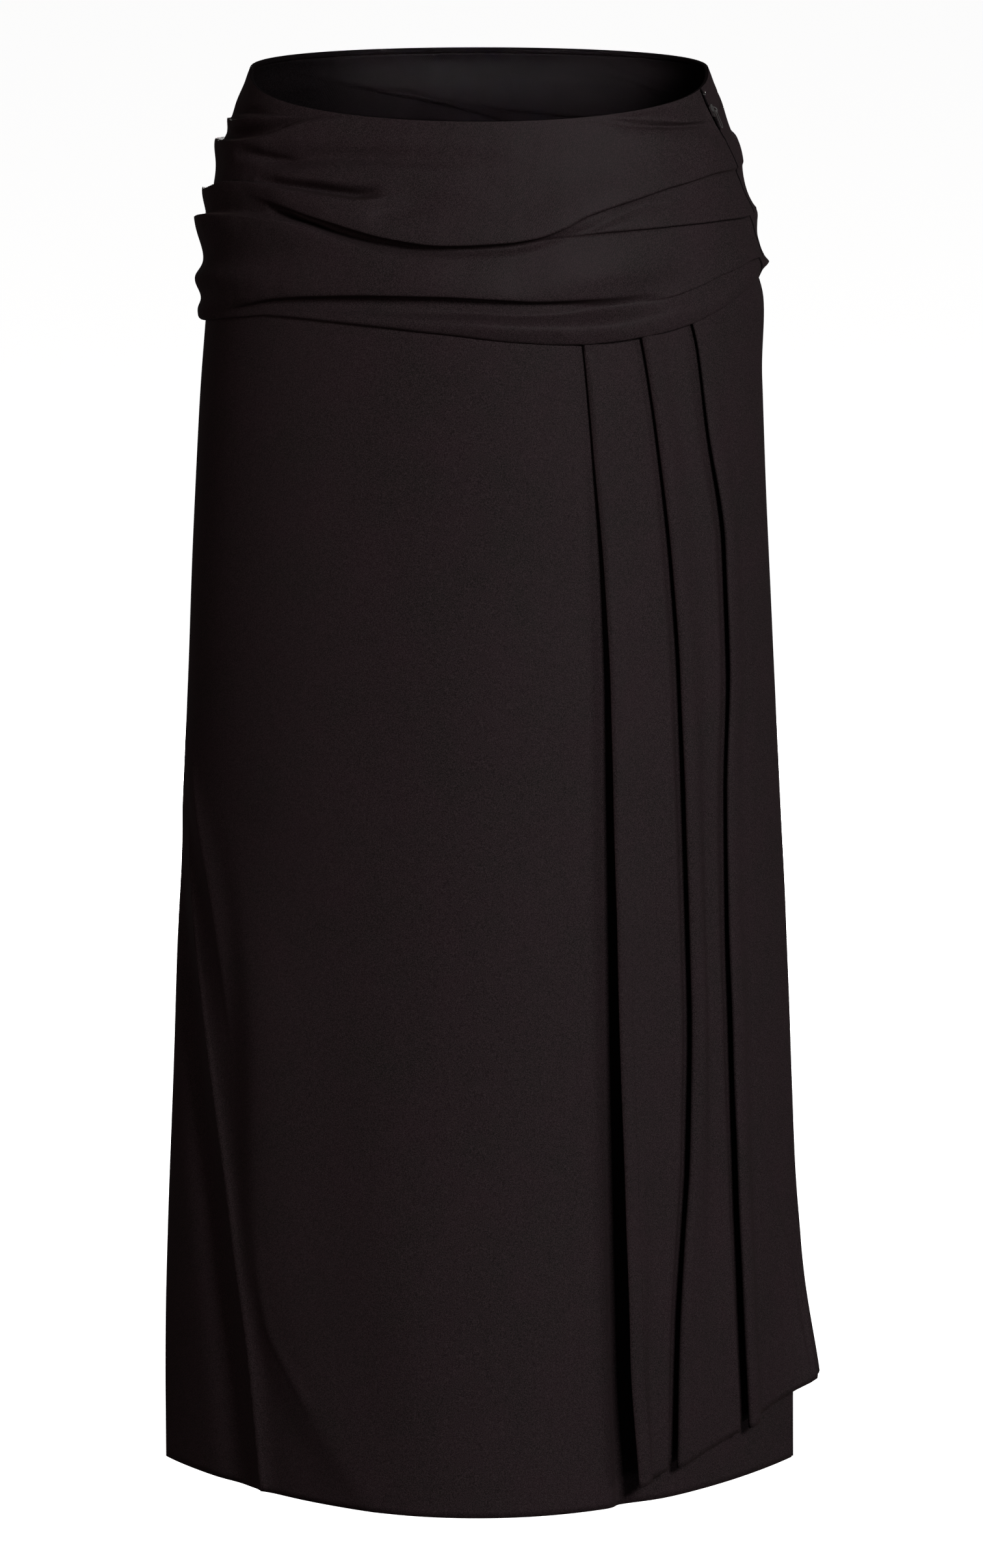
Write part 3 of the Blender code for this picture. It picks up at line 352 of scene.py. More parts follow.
# The side panel's pleats: each edge's angle, and how far the cloth stands off the skirt
DrapeRow = namedtuple("DrapeRow", "drop edge_1 edge_2 edge_3 outer lift_1 lift_2 lift_3 swing")
DRAPE_TOP = 115.0
DRAPE_TUCK = 9.0  # how far its top goes up under the wrap
DRAPE_HEM_FRONT = 822.0  # drop of its hem at its front edge
DRAPE_HEM_BACK = 786.0  # and at its outer edge
DRAPE_HEM_BOW = 6.0  # and how far the hem curves up between them
DRAPE_ROWS = (
    DrapeRow(DRAPE_TOP, 21.7, 34.9, 48.8, 96.0, 0.0, 0.0, 0.0, 1.6),
    DrapeRow(142.0, 22.4, 36.4, 51.0, 96.2, 0.3, 0.2, 0.2, 7.0),
    DrapeRow(190.0, 23.4, 38.3, 52.4, 96.5, 0.8, 0.8, 0.8, 2.0),
    DrapeRow(270.0, 25.1, 40.7, 56.1, 97.0, 2.2, 2.2, 2.6, 0.2),
    DrapeRow(340.0, 25.7, 41.8, 56.2, 97.0, 4.0, 2.6, 2.4, 0.8),
    DrapeRow(420.0, 25.7, 42.0, 54.1, 97.0, 5.4, 2.8, 1.8, 1.6),
    DrapeRow(530.0, 25.7, 42.1, 53.0, 97.0, 7.2, 3.2, 2.6, 2.6),
    DrapeRow(635.0, 26.0, 40.6, 53.0, 96.5, 9.0, 3.4, 3.6, 3.0),
    DrapeRow(735.0, 26.2, 37.5, 53.3, 96.0, 10.5, 3.6, 4.6, 5.0),
    DrapeRow(DRAPE_HEM_FRONT, 27.6, 36.6, 54.8, 95.0, 12.0, 4.0, 5.6, 17.0),
)
DRAPE_FOLDS = (
    fold("fan_crease", 6.0, 2.2, 0.0,
        (54, 590, 0.0), (60, 640, 1.2), (67, 685, 2.0), (74, 730, 2.2), (80, 775, 1.6),
        (84, DRAPE_HEM_FRONT, 1.2)),
)
PLEAT_RETURN = 12.0  # how far a pleat goes back under the next
PLEAT_STEP = 1.8  # between the middles of two of its layers
PLEAT_OPENING = 0.9  # and how much more towards the hem
CREST = 7.5  # how far before a pleat's edge the cloth stands highest
EDGE_TURN = 9.0  # width of the leading edge's turned hem
TURN_GAP = 1.5  # between the middles of the edge's two layers
FOLD_STEPS = 6  # parts of a half circle where cloth turns back
DRAPE_SPACING = 1.7  # between the side panel's columns, about
DRAPE_RIPPLE_STARTS = (190.0, 420.0)  # drops over which its unevenness starts

Span = namedtuple("Span", "start end steps")

# The studio. Azimuth 0 is in front and 90 to the picture's right; sizes in metres.
WORLD_LIGHT = 0.06
ROOM_LIGHT = 0.90
FLOOR_LEVEL = -1.16
ROOM_RADIUS = 14.0
ROOM_HEIGHT = 12.0
ROOM_SIDES = 96
CAMERA_TILT = 12.20  # degrees down
Lamp = namedtuple("Lamp", "name azimuth elevation distance width height power colour spread aim")
MIDDLE = (0.0, 0.0, -0.4)
INSIDE_BACK = (0.012, 0.094, -0.020)
LAMPS = (
    Lamp("key", 29.0, 25.0, 4.6, 1.1, 0.8, 262.0, (1.0, 0.985, 0.98), 180.0, MIDDLE),
    Lamp("fill", -56.0, 4.0, 3.8, 0.8, 0.8, 25.0, (1.0, 0.70, 0.68), 180.0, MIDDLE),
    Lamp("side", 76.0, 1.0, 3.8, 0.8, 0.8, 26.0, (1.0, 0.93, 0.95), 180.0, MIDDLE),
    Lamp("behind", 180.0, 1.0, 3.8, 0.8, 0.8, 90.0, (1.0, 0.98, 0.98), 180.0, MIDDLE),
    Lamp("inside", -3.0, 16.0, 1.5, 0.18, 0.020, 0.066, (1.0, 0.98, 0.98), 2.5, INSIDE_BACK),
)


# ---- Smooth curves and tables ----

def cubic(t, width, first, last, first_slope, last_slope):
    """A curve's value at the share t of its width, from its ends' values and slopes."""
    return (
        (1 + 2 * t) * (1 - t) ** 2 * first
        + t * (1 - t) ** 2 * width * first_slope
        + t * t * (3 - 2 * t) * last
        + t * t * (t - 1) * width * last_slope
    )


def smooth_value(table, key, column, at):
    """The column's value at each place of the key column, on a smooth curve that never
    overshoots its rows."""
    x = np.array([getattr(row, key) for row in table], float)
    y = np.array([getattr(row, column) for row in table], float)
    width = np.diff(x)
    rise = np.diff(y) / width
    slope = np.concatenate([rise[:1], np.zeros(len(x) - 2), rise[-1:]])
    for i in range(1, len(x) - 1):
        if rise[i - 1] * rise[i] > 0:
            slope[i] = 2 * rise[i - 1] * rise[i] / (rise[i - 1] + rise[i])
    at = np.clip(at, x[0], x[-1])
    k = np.clip(np.searchsorted(x, at, side="right") - 1, 0, len(x) - 2)
    return cubic((at - x[k]) / width[k], width[k], y[k], y[k + 1], slope[k], slope[k + 1])


def ease(value, start, end):
    """0 before start, 1 after end, and a soft step between."""
    t = np.clip((np.asarray(value, float) - start) / (end - start), 0.0, 1.0)
    return t * t * (3 - 2 * t)


def between(value, rising, falling):
    """1 between two soft steps and 0 outside them."""
    return ease(value, *rising) * (1 - ease(value, *falling))


def spread(spans):
    """The places that a tuple of spans names, each end given once."""
    places = [spans[0].start]
    for span in spans:
        places += [
            span.start + (span.end - span.start) * step / span.steps
            for step in range(1, span.steps + 1)
        ]
    return np.array(places)


# ---- The straight skirt's surface ----

def skirt_point(deg, drop):
    """Points on the straight skirt's outer face, in millimetres."""
    deg, drop = np.broadcast_arrays(np.asarray(deg, float), np.asarray(drop, float))
    half_width, front_depth, back_depth, power = (
        smooth_value(SECTIONS, "drop", column, drop) for column in Section._fields[1:]
    )
    turn = np.radians(deg)
    share = np.abs(np.cos(turn)) ** (2 * power)
    front = np.cos(turn) > 0
    dip = WAIST_DIP * share * (1 - drop / SKIRT_LENGTH)
    return np.stack([
        half_width * np.sin(turn),
        np.where(front, -front_depth * share, back_depth * share),
        -drop - np.where(front, dip, 0.0),
    ], axis=-1)


def skirt_normal(deg, drop):
    """The outward direction there."""
    small_deg, small_drop = 0.5, 2.0
    across = skirt_point(deg + small_deg, drop) - skirt_point(deg - small_deg, drop)
    lower = np.minimum(drop + small_drop, SKIRT_LENGTH)
    upper = np.maximum(drop - small_drop, 0.0)
    down = skirt_point(deg, lower) - skirt_point(deg, upper)
    normal = np.cross(down, across)
    return normal / np.linalg.norm(normal, axis=-1, keepdims=True)


def place(deg, drop, height):
    """Points that lie height above the straight skirt's outer face, in millimetres."""
    height = np.asarray(height, float)[..., None]
    return skirt_point(deg, drop) + height * skirt_normal(deg, drop)


def mm_per_degree(deg, drop):
    return np.linalg.norm(skirt_point(deg + 0.5, drop) - skirt_point(deg - 0.5, drop), axis=-1)


def zip_seam_deg(drop):
    return smooth_value(ZIP_SEAM, "drop", "deg", drop)


def wrap_bottom(deg):
    return smooth_value(WRAP_EDGE, "deg", "drop", deg)


# ---- Folds ----

def fall_away(distance, first_side, second_side):
    """1 on a fold's crest and 0 far from it, by a width for each side."""
    width = np.where(distance < 0, first_side, second_side)
    return np.exp(-((distance / width) ** 2))


def folds_across(folds, deg, drop):
    """What folds running round the body add: height, and how far they push the cloth down."""
    height, push = np.zeros(np.shape(drop)), np.zeros(np.shape(drop))
    for crease in folds:
        peak = max(abs(knot.height) for knot in crease.knots)
        for turn in (-360.0, 0.0, 360.0):
            crest = smooth_value(crease.knots, "deg", "drop", deg + turn)
            rise = smooth_value(crease.knots, "deg", "height", deg + turn)
            share = fall_away(drop - crest, crease.first_side, crease.second_side)
            height += rise * share
            push += crease.lean * np.abs(rise) / peak * share
    return height, push


def folds_down(folds, deg, drop):
    """The height that folds running down the skirt add."""
    total = np.zeros(np.shape(drop))
    for crease in folds:
        crest = smooth_value(crease.knots, "drop", "deg", drop)
        height = smooth_value(crease.knots, "drop", "height", drop)
        distance = (deg - crest) * mm_per_degree(crest, drop)
        total = total + height * fall_away(distance, crease.first_side, crease.second_side)
    return total


def ripple(kind, deg, drop):
    """Slight unevenness of one kind."""
    u, v = deg * ARC / kind.size, drop / kind.size
    return kind.height * (
        np.sin(2.1 * u + 1.3 * v + 0.7)
        + np.sin(-1.7 * u + 2.3 * v + 2.1)
        + np.sin(3.3 * u + 0.6 * v + 4.2)
        + np.sin(0.5 * u - 3.1 * v + 5.3)
    ) / 4


# ---- Materials ----

def fill(tree, item, inputs):
    """Gives a node's sockets their values or links."""
    for name, value in inputs.items():
        socket = item.inputs[name]
        if isinstance(value, bpy.types.NodeSocket):
            tree.links.new(value, socket)
        else:
            socket.default_value = (*value, 1.0) if socket.type == "RGBA" else value


def node(tree, kind, inputs, **settings):
    """A new shader node with its settings and its sockets' values or links."""
    made = tree.nodes.new(kind)
    for name, value in settings.items():
        setattr(made, name, value)
    fill(tree, made, inputs)
    return made


def new_material(name):
    """A material, its nodes, its shader and the places on the object."""
    material = bpy.data.materials.new(name)
    material.use_nodes = True
    tree = material.node_tree
    spot = node(tree, "ShaderNodeTexCoord", {}).outputs["Object"]
    return material, tree, tree.nodes["Principled BSDF"], spot


def mixed(tree, factor, first, second):
    """A colour between two, by a factor socket."""
    sockets = {0: factor, 6: first, 7: second}
    return node(tree, "ShaderNodeMix", sockets, data_type="RGBA").outputs[2]


def ranged(tree, value, from_low, from_high, to_low=0.0, to_high=1.0):
    """A value's range, spread over another."""
    return node(
        tree, "ShaderNodeMapRange",
        {"Value": value, "From Min": from_low, "From Max": from_high,
         "To Min": to_low, "To Max": to_high}).outputs[0]


def noise(tree, spot, scale, detail, roughness=0.5):
    return node(
        tree, "ShaderNodeTexNoise",
        {"Vector": spot, "Scale": scale, "Detail": detail, "Roughness": roughness}).outputs[0]


def bump(tree, height, strength, distance):
    return node(
        tree, "ShaderNodeBump",
        {"Height": height, "Strength": strength, "Distance": distance}).outputs[0]


def satin_crepe(name, deep, pale, grain_depth, shine):
    """Black satin-backed crepe: a fine twill line and pebbled grain, a soft sheen and slow
    changes of shade between deep and pale."""
    material, tree, shader, spot = new_material(name)
    parts = node(tree, "ShaderNodeSeparateXYZ", {"Vector": spot}).outputs
    turn = node(tree, "ShaderNodeMath", {0: parts["X"], 1: parts["Y"]}, operation="ARCTAN2")
    radius = 0.16  # of the skirt, about, in metres
    arc = node(tree, "ShaderNodeMath", {0: turn.outputs[0], 1: radius}, operation="MULTIPLY")
    cloth = node(tree, "ShaderNodeCombineXYZ", {"X": arc.outputs[0], "Y": parts["Z"]})
    twill = node(
        tree, "ShaderNodeTexWave",
        {"Vector": cloth.outputs[0], "Scale": 330.0, "Distortion": 2.2, "Detail": 1.0,
         "Detail Scale": 2.0},
        wave_type="BANDS", bands_direction="DIAGONAL")
    pebble = noise(tree, spot, 1900.0, 1.5, 0.6)
    slow = noise(tree, spot, 26.0, 5.0, 0.62)
    base = mixed(tree, ranged(tree, slow, 0.30, 0.70), deep, pale)
    grain = ranged(tree, pebble, 0.40, 0.65, 0.0, 0.85)
    bright = tuple(1.45 * (a + b) for a, b in zip(deep, pale))
    weave = node(
        tree, "ShaderNodeMath", {0: twill.outputs["Fac"], 1: 0.35, 2: pebble},
        operation="MULTIPLY_ADD")
    fill(tree, shader, {
        "Base Color": mixed(tree, grain, base, bright),
        "Roughness": ranged(tree, pebble, 0.3, 0.7, 0.46, 0.62),
        "Specular IOR Level": shine,
        "Sheen Weight": 0.2 * shine,
        "Sheen Roughness": 0.45,
        "Sheen Tint": (1.0, 0.66, 0.6),
        "Normal": bump(tree, weave.outputs[0], 0.45, grain_depth),
    })
    return material


def ribbed_tape(name):
    """Woven nylon tape with fine ribs across the zip."""
    material, tree, shader, spot = new_material(name)
    ribs = node(
        tree, "ShaderNodeTexWave", {"Vector": spot, "Scale": 420.0, "Distortion": 0.6},
        wave_type="BANDS", bands_direction="Z").outputs["Fac"]
    fill(tree, shader, {
        "Base Color": mixed(tree, ribs, (0.004, 0.0035, 0.004), (0.010, 0.009, 0.0095)),
        "Roughness": 0.7,
        "Specular IOR Level": 0.25,
        "Normal": bump(tree, ribs, 0.6, 0.0002),
    })
    return material


def plated_metal(name, colour, roughness):
    """Nickel-plated metal with faint polishing marks and a little tarnish."""
    material, tree, shader, spot = new_material(name)
    marks = noise(tree, spot, 900.0, 3.0)
    tarnish = noise(tree, spot, 260.0, 2.0)
    fill(tree, shader, {
        "Base Color": mixed(tree, tarnish, colour, tuple(c * 0.72 for c in colour)),
        "Roughness": ranged(tree, marks, 0.3, 0.7, roughness, roughness + 0.14),
        "Metallic": 1.0,
        "Normal": bump(tree, marks, 0.15, 0.00005),
    })
    return material


def moulded_nylon(name):
    """Black nylon with a slight cloud in it."""
    material, tree, shader, spot = new_material(name)
    cloud = noise(tree, spot, 700.0, 2.0)
    fill(tree, shader, {
        "Base Color": mixed(tree, cloud, (0.006, 0.0055, 0.006), (0.013, 0.012, 0.0125)),
        "Roughness": 0.42,
    })
    return material


def plain_room(name):
    """A plain pale surface with a light of its own."""
    material, tree, shader, _ = new_material(name)
    fill(tree, shader, {
        "Base Color": (0.8, 0.8, 0.8),
        "Roughness": 0.9,
        "Specular IOR Level": 0.0,
        "Emission Color": (1.0, 1.0, 1.0),
        "Emission Strength": ROOM_LIGHT,
    })
    return material


# ---- Objects and meshes ----

def add_object(name, data):
    item = bpy.data.objects.new(name, data)
    bpy.context.scene.collection.objects.link(item)
    return item


def add_mesh(name, points, faces, material):
    """A mesh from points in metres."""
    mesh = bpy.data.meshes.new(name)
    mesh.from_pydata(points, [], faces)
    mesh.materials.append(material)
    return add_object(name, mesh)


def add_piece(name, points, faces, material, body):
    """A smooth-shaded piece from points in millimetres."""
    piece = add_mesh(name, (np.asarray(points) * MM).tolist(), faces, material)
    piece.data.shade_smooth()
    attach(piece, body)
    return piece


def cloth_shell(name, sheet, material, node_name, thickness=SHELL, inside=None):
    """A cloth shell whose outer face is a sheet of points, rows by columns. Its inner face
    may have a material of its own, such as the darker satin copy that paints shade."""
    rows, columns = sheet.shape[:2]
    corner = np.arange(rows * columns).reshape(rows, columns)
    faces = np.stack(
        [corner[:-1, :-1], corner[1:, :-1], corner[1:, 1:], corner[:-1, 1:]], axis=-1)
    piece = add_piece(
        name, sheet.reshape(-1, 3), faces.reshape(-1, 4).tolist(), material, "skirt")
    wall = piece.modifiers.new("Thickness", "SOLIDIFY")
    wall.thickness = thickness * MM
    wall.offset = -1.0
    wall.use_even_offset = False
    if inside:
        piece.data.materials.append(inside)
        wall.material_offset = 1
    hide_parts(node_name)
    return piece


def turn_in(distance, radius):
    """How far cloth dips that turns in over an edge, distance from it."""
    t = np.clip(1 - distance / radius, 0.0, 1.0)
    return radius * (1 - np.sqrt(1 - t * t))


def edge_columns(spans, width):
    """Shares of a piece's width, with closer columns along both its side edges."""
    close = np.array(CLOSE_COLUMNS) / width
    middle = close[-1] + (1 - 2 * close[-1]) * spread(spans)
    return np.concatenate([close[:-1], middle, 1 - close[-2::-1]])


def seam_gap(drop, is_wrap):
    """Half the gap at the left seam, which is open beside the pull in the wrap alone."""
    if not is_wrap:
        return np.full(np.shape(drop), SEAM_LINE)
    slot = SLOT_HALF_WIDTH * (1 - ease(drop, SLOT_CLOSES, SLOT_END)) * ease(drop, -1.0, 2.5)
    return SEAM_LINE + slot + (WRAP_SEAM_LINE - SEAM_LINE) * ease(drop, 6.0, SLOT_END)


def side_limits(side, drop, is_wrap):
    """The first and last angle of a front or back piece at each drop."""
    edge = zip_seam_deg(np.maximum(drop, 0.0))
    gap = seam_gap(drop, is_wrap) / mm_per_degree(edge, drop)
    right = RIGHT_SEAM_LINE / mm_per_degree(RIGHT_SEAM_DEG, drop)
    if side == "front":
        return RIGHT_SEAM_DEG + right, edge - gap
    return edge + gap, RIGHT_SEAM_DEG + 360.0 - right


# ---- The pieces ----

def held_in(deg, drop):
    """How far in the skirt lies under the wrap; not by the zip, nor near an edge."""
    from_zip = np.abs(deg - zip_seam_deg(drop)) * ARC
    foot = wrap_bottom(deg) - drop
    off_edges = ease(drop, *OFF_WAIST) * ease(foot, *OFF_FOOT)
    return UNDER_WRAP * off_edges * ease(from_zip, *OFF_ZIP)


def inside_creases(deg, drop):
    """The creases that show inside the waist: their height and how far they lean down."""
    height, push = folds_across(INSIDE_FOLDS, deg, drop)
    calm = 1 - ease(drop, *INSIDE_ENDS)
    return height * ease(drop, 0.0, 4.0) * calm, push * ease(drop, 0.0, 6.0) * calm


def make_panel(side, columns, rows, material, painted_shade_inside):
    """One half of the straight skirt. The back's seam allowances go behind the front."""
    share, drop = np.meshgrid(columns, rows)
    first, last = side_limits(side, drop, False)
    lapped = np.where(share < 0.5, ease(drop, *LAP_FROM_LEFT), ease(drop, *LAP_FROM_RIGHT))
    if side == "front":
        lapped = np.zeros(drop.shape)
    lap = lapped * SEAM_LAP / mm_per_degree(last, drop)
    start = first - lap[:, :1]
    deg = start + (last + lap[:, -1:] - start) * share
    height = folds_down(PANEL_FOLDS, deg, drop)
    push = -HEM_SINKS * height * ease(drop, HEM_ZONE, SKIRT_LENGTH)
    height += ripple(PANEL_RIPPLE, deg, drop) * ease(drop, *RIPPLE_STARTS)
    height -= held_in(deg, drop)
    if side == "back":
        inside, inside_push = inside_creases(deg, drop)
        height += inside
        push += inside_push
    from_edge = np.minimum(deg - first, last - deg) * mm_per_degree(deg, drop)
    rolled = turn_in(np.maximum(from_edge, 0.0), SEAM_ROLL) * ease(drop, *BELOW_WRAP)
    depth = LAP_DEPTH_BY_WRAP + (LAP_DEPTH - LAP_DEPTH_BY_WRAP) * ease(drop, *BELOW_WRAP)
    rolled += (depth * (1 - ease(from_edge, -0.4, 1.4)) - rolled) * lapped
    height -= rolled
    sheet = place(deg, drop + push, height)
    # The inner face gets the darker satin copy: painted shade inside the waist.
    return cloth_shell(
        f"{side}_panel_cloth", sheet, material, f"{side}_panel",
        inside=painted_shade_inside)


def wrap_outside(deg, drop):
    """The wrap's outer face: its height and how far its folds push the cloth down."""
    height, push = folds_across(WRAP_FOLDS, deg, drop)
    height += folds_down(WRAP_SLITS, deg, drop)
    height += ripple(WRAP_RIPPLE, deg, drop) + ripple(WRAP_FINE_RIPPLE, deg + 40.0, drop)
    outside = EDGE_OUTSIDE + height * ease(drop, 0.0, WRAP_HELD)
    outside += (LAYER_GAP + CLOTH + WRAP_SLACK - EDGE_OUTSIDE) * ease(drop, 0.0, WRAP_EASES)
    off_pleats = 1 - between(deg, *LIFTED_BY_PLEATS)
    outside -= WRAP_HUGS * off_pleats * (1 - ease(wrap_bottom(deg) - drop, 0.0, WRAP_HUG_ZONE))
    least = LEAST_WRAP_HEIGHT * ease(drop, -4.0, 4.0) - held_in(deg, drop)
    over = outside - least
    outside = least + 0.5 * (over + np.sqrt(over * over + LEAST_WRAP_ROUNDING**2))
    calm = ease(drop, 2.0, 10.0) * ease(wrap_bottom(deg) - drop, 1.0, 9.0)
    return outside, push * calm


def make_wrap(side, spans, row_count, width, material, painted_shade_edge):
    """One half of the hip wrap, turned over the waist edge and curled under at its foot."""
    columns = edge_columns(spans, width)
    down = np.linspace(0.0, 1.0, row_count)
    close = 1 - np.array(CLOSE_ROWS) / WRAP_DEPTH
    least_step = 0.004
    down = np.concatenate([down[down < close[0] - least_step], close, [1.0]])
    share, across_down = np.meshgrid(columns, down)
    drop = across_down * WRAP_DEPTH
    for _ in range(3):  # its depth and its side edges depend on each other
        first, last = side_limits(side, drop, True)
        deg = first + (last - first) * share
        drop = across_down * wrap_bottom(deg)
    outside, push = wrap_outside(deg, drop)
    from_seam = np.minimum(share, 1 - share) * (last - first) * mm_per_degree(deg, drop)
    outside -= turn_in(from_seam, SEAM_ROLL)
    curl = HEM_ROLL * (1 - LESS_CURL * between(deg, *OVER_PLEATS))
    curl = np.minimum(curl, 0.8 * np.maximum(outside[-1:] - 0.5, 0.3))  # stays off the skirt
    outside -= curl / HEM_ROLL * turn_in(wrap_bottom(deg) - drop, HEM_ROLL)
    body = place(deg, drop + push, outside)

    # Over the waist edge, from the inside up and out
    top_deg = deg[0]
    middle = 0.5 * (outside[0] + EDGE_INSIDE)
    radius = 0.5 * (outside[0] - EDGE_INSIDE)
    edge = [
        place(top_deg, np.full_like(top_deg, down_in), middle - radius)
        for down_in in (WAIST_TURN, 0.5 * WAIST_TURN)
    ]
    for step in range(EDGE_STEPS):
        angle = math.pi * (1 - step / EDGE_STEPS)
        lift = np.full_like(top_deg, -EDGE_RISE * math.sin(angle))
        edge.append(place(top_deg, lift, middle + radius * math.cos(angle)))
    sheet = np.concatenate([np.array(edge), body])
    piece = cloth_shell(f"{side}_wrap_cloth", sheet, material, f"{side}_wrap")
    piece.data.materials.append(painted_shade_edge)
    # The turned edge shows the cloth's inside, and so do the turns of the zip's seam; both get
    # the darker satin copy, which paints shade there.
    across = len(columns) - 1
    seam = range(PAINTED_SHADE_COLUMNS)
    if side == "front":
        seam = range(across - PAINTED_SHADE_COLUMNS, across)
    for face in piece.data.polygons:
        if face.index < (len(edge) - 1) * across or face.index % across in seam:
            face.material_index = 1
    return piece


def drape_hem(deg):
    """The drop of the side panel's hem."""
    first, last = DRAPE_ROWS[-1].edge_1, DRAPE_ROWS[-1].outer
    share = np.clip((deg - first) / (last - first), 0.0, 1.0)
    bow = DRAPE_HEM_BOW * np.sin(math.pi * share)
    return DRAPE_HEM_FRONT + (DRAPE_HEM_BACK - DRAPE_HEM_FRONT) * share - bow


def turn_back(deg, per_mm, low, high, towards):
    """A fold's points, from height low to height high round a half circle."""
    radius, middle = 0.5 * (high - low), 0.5 * (high + low)
    angles = [math.pi * k / FOLD_STEPS for k in range(1, FOLD_STEPS)]
    return [
        (deg + towards * radius * per_mm * math.sin(a), middle - radius * math.cos(a))
        for a in angles]


def drape_row(drop):
    """The side panel's section at one drop: angle and middle height of each control point."""
    row = {name: float(smooth_value(DRAPE_ROWS, "drop", name, drop)) for name in DrapeRow._fields}
    lying = LAYER_GAP + 0.5 * CLOTH
    step = PLEAT_STEP + PLEAT_OPENING * float(ease(drop, 200.0, SKIRT_LENGTH))
    per_mm = 1.0 / float(mm_per_degree(row["edge_1"], drop))
    start, start_height = row["edge_1"], lying + row["lift_1"] + 0.6
    under = start_height - TURN_GAP * float(ease(drop, 118.0, 150.0)) * 0.9 - 0.1
    columns = [  # the leading edge, turned under
        (start + EDGE_TURN * per_mm, under + 0.1),
        (start + 0.5 * EDGE_TURN * per_mm, under),
        (start + 0.8 * per_mm, under),
        (start + 0.1 * per_mm, 0.5 * (under + start_height)),
        (start + 0.8 * per_mm, start_height),
    ]
    for edge, lift in ((row["edge_2"], row["lift_2"]), (row["edge_3"], row["lift_3"])):
        per_mm = 1.0 / float(mm_per_degree(edge, drop))
        tuck = edge + PLEAT_RETURN * per_mm
        crest = edge - CREST * per_mm
        middle = 0.5 * (start + crest)
        columns += [  # down from the pleat before, over the crest and in under it
            (start + EDGE_TURN * per_mm, lying + 0.86 * (start_height - lying) + 0.1 * lift),
            (middle, lying + 0.5 * (start_height - lying) + 0.35 * lift),
            (crest - 4.0 * per_mm, lying + 0.28 * (start_height - lying) + 0.75 * lift),
            (crest, lying + 0.22 * (start_height - lying) + 0.95 * lift),
            (crest + 1.6 * per_mm, lying + 0.15 * (start_height - lying) + 0.8 * lift),
            (crest + 4.5 * per_mm, lying + 0.25 * lift),
            (edge - 0.5 * per_mm, lying + 0.05 * lift),
            (0.5 * (edge + tuck), lying),
            (tuck, lying),
        ]
        columns += turn_back(tuck, per_mm, lying, lying + step, 1.0)
        columns += [  # the layer between, out again
            (tuck, lying + step),
            (0.5 * (edge + tuck), lying + step + 0.3 * lift),
            (edge + 1.0 * per_mm, lying + step + 0.8 * lift),
        ]
        high = lying + 2 * step + lift
        columns += turn_back(edge + 0.4 * per_mm, per_mm, lying + step + 0.8 * lift, high, -1.0)
        start, start_height = edge, high
    rest = PLEAT_RETURN * per_mm
    columns += [  # the last pleat's own face, out to the free edge
        (start + 1.5 * per_mm, start_height + 0.1),
        (start + 0.5 * rest, start_height - 0.1 * step),
        (start + rest + 1.0, lying + 1.6 * step),
    ]
    face_start = start + rest + 1.0
    for share in (0.12, 0.26, 0.42, 0.58, 0.74, 0.88, 1.0):
        deg = face_start + (row["outer"] - face_start) * share
        settled = lying + 1.6 * step * (1 - share) ** 4
        columns.append((deg, settled + row["swing"] * share**1.6))
    return np.array(columns)


def smooth_path(points, steps):
    """A smooth curve through each row's points, with steps[k] parts between two of them."""
    gap = np.linalg.norm(np.diff(points, axis=1), axis=-1, keepdims=True)
    slope = np.diff(points, axis=1) / gap
    speed = np.concatenate([
        slope[:, :1],
        (gap[:, :-1] * slope[:, 1:] + gap[:, 1:] * slope[:, :-1]) / (gap[:, :-1] + gap[:, 1:]),
        slope[:, -1:],
    ], axis=1)
    parts = [
        cubic(i / count, gap[:, k], points[:, k], points[:, k + 1], speed[:, k], speed[:, k + 1])
        for k, count in enumerate(steps) for i in range(count)
    ]
    return np.stack([*parts, points[:, -1]], axis=1)


def make_side_drape(row_count, material):
    """The free side panel in knife pleats, in true section and hung from under the wrap."""
    share = np.linspace(0.0, 1.0, row_count)[:, None]
    drop = DRAPE_TOP + (DRAPE_HEM_FRONT - DRAPE_TOP) * share
    controls = np.array([drape_row(row_drop) for row_drop in drop[:, 0]])
    # A section is smoothed in millimetres, so angles are spread out first.
    wide = np.array([3.0, 1.0])
    length = np.linalg.norm(np.diff((controls * wide)[row_count // 2], axis=0), axis=1)
    steps = np.clip(np.round(length / DRAPE_SPACING), 2, 14).astype(int)
    path = smooth_path(controls * wide, steps) / wide
    deg, height = path[..., 0], path[..., 1]
    # The fine unevenness runs down the pleats: close across them and drawn out along them.
    soft = ripple(DRAPE_RIPPLE, deg, drop) + ripple(DRAPE_FINE_RIPPLE, deg * 2.0, drop * 0.12)
    height = height + soft * ease(drop, *DRAPE_RIPPLE_STARTS) * ease(height, 2.0, 4.0)
    height = height + folds_down(DRAPE_FOLDS, deg, drop)
    top = wrap_bottom(deg) - DRAPE_TUCK
    slanted = top + (drape_hem(deg) - top) * share
    sheet = place(deg, slanted, height + 0.5 * SHELL)
    return cloth_shell("side_drape_cloth", sheet, material, "side_drape")


def make_zip_tape(material):
    """The tape inside the seam."""
    half, top, behind, bow = 7.0, 1.5, 0.75, 0.25
    columns, rows = 15, 90
    offset, drop = np.meshgrid(
        np.linspace(-half, half, columns), np.linspace(top, ZIP_LENGTH, rows))
    middle = zip_seam_deg(drop)
    deg = middle + offset / mm_per_degree(middle, drop)
    sag = bow * (offset / half) ** 2
    sheet = place(deg, drop, -CLOTH - behind - sag)
    return cloth_shell(
        "zip_tape_cloth", sheet, material, "zip_tape", thickness=TAPE)


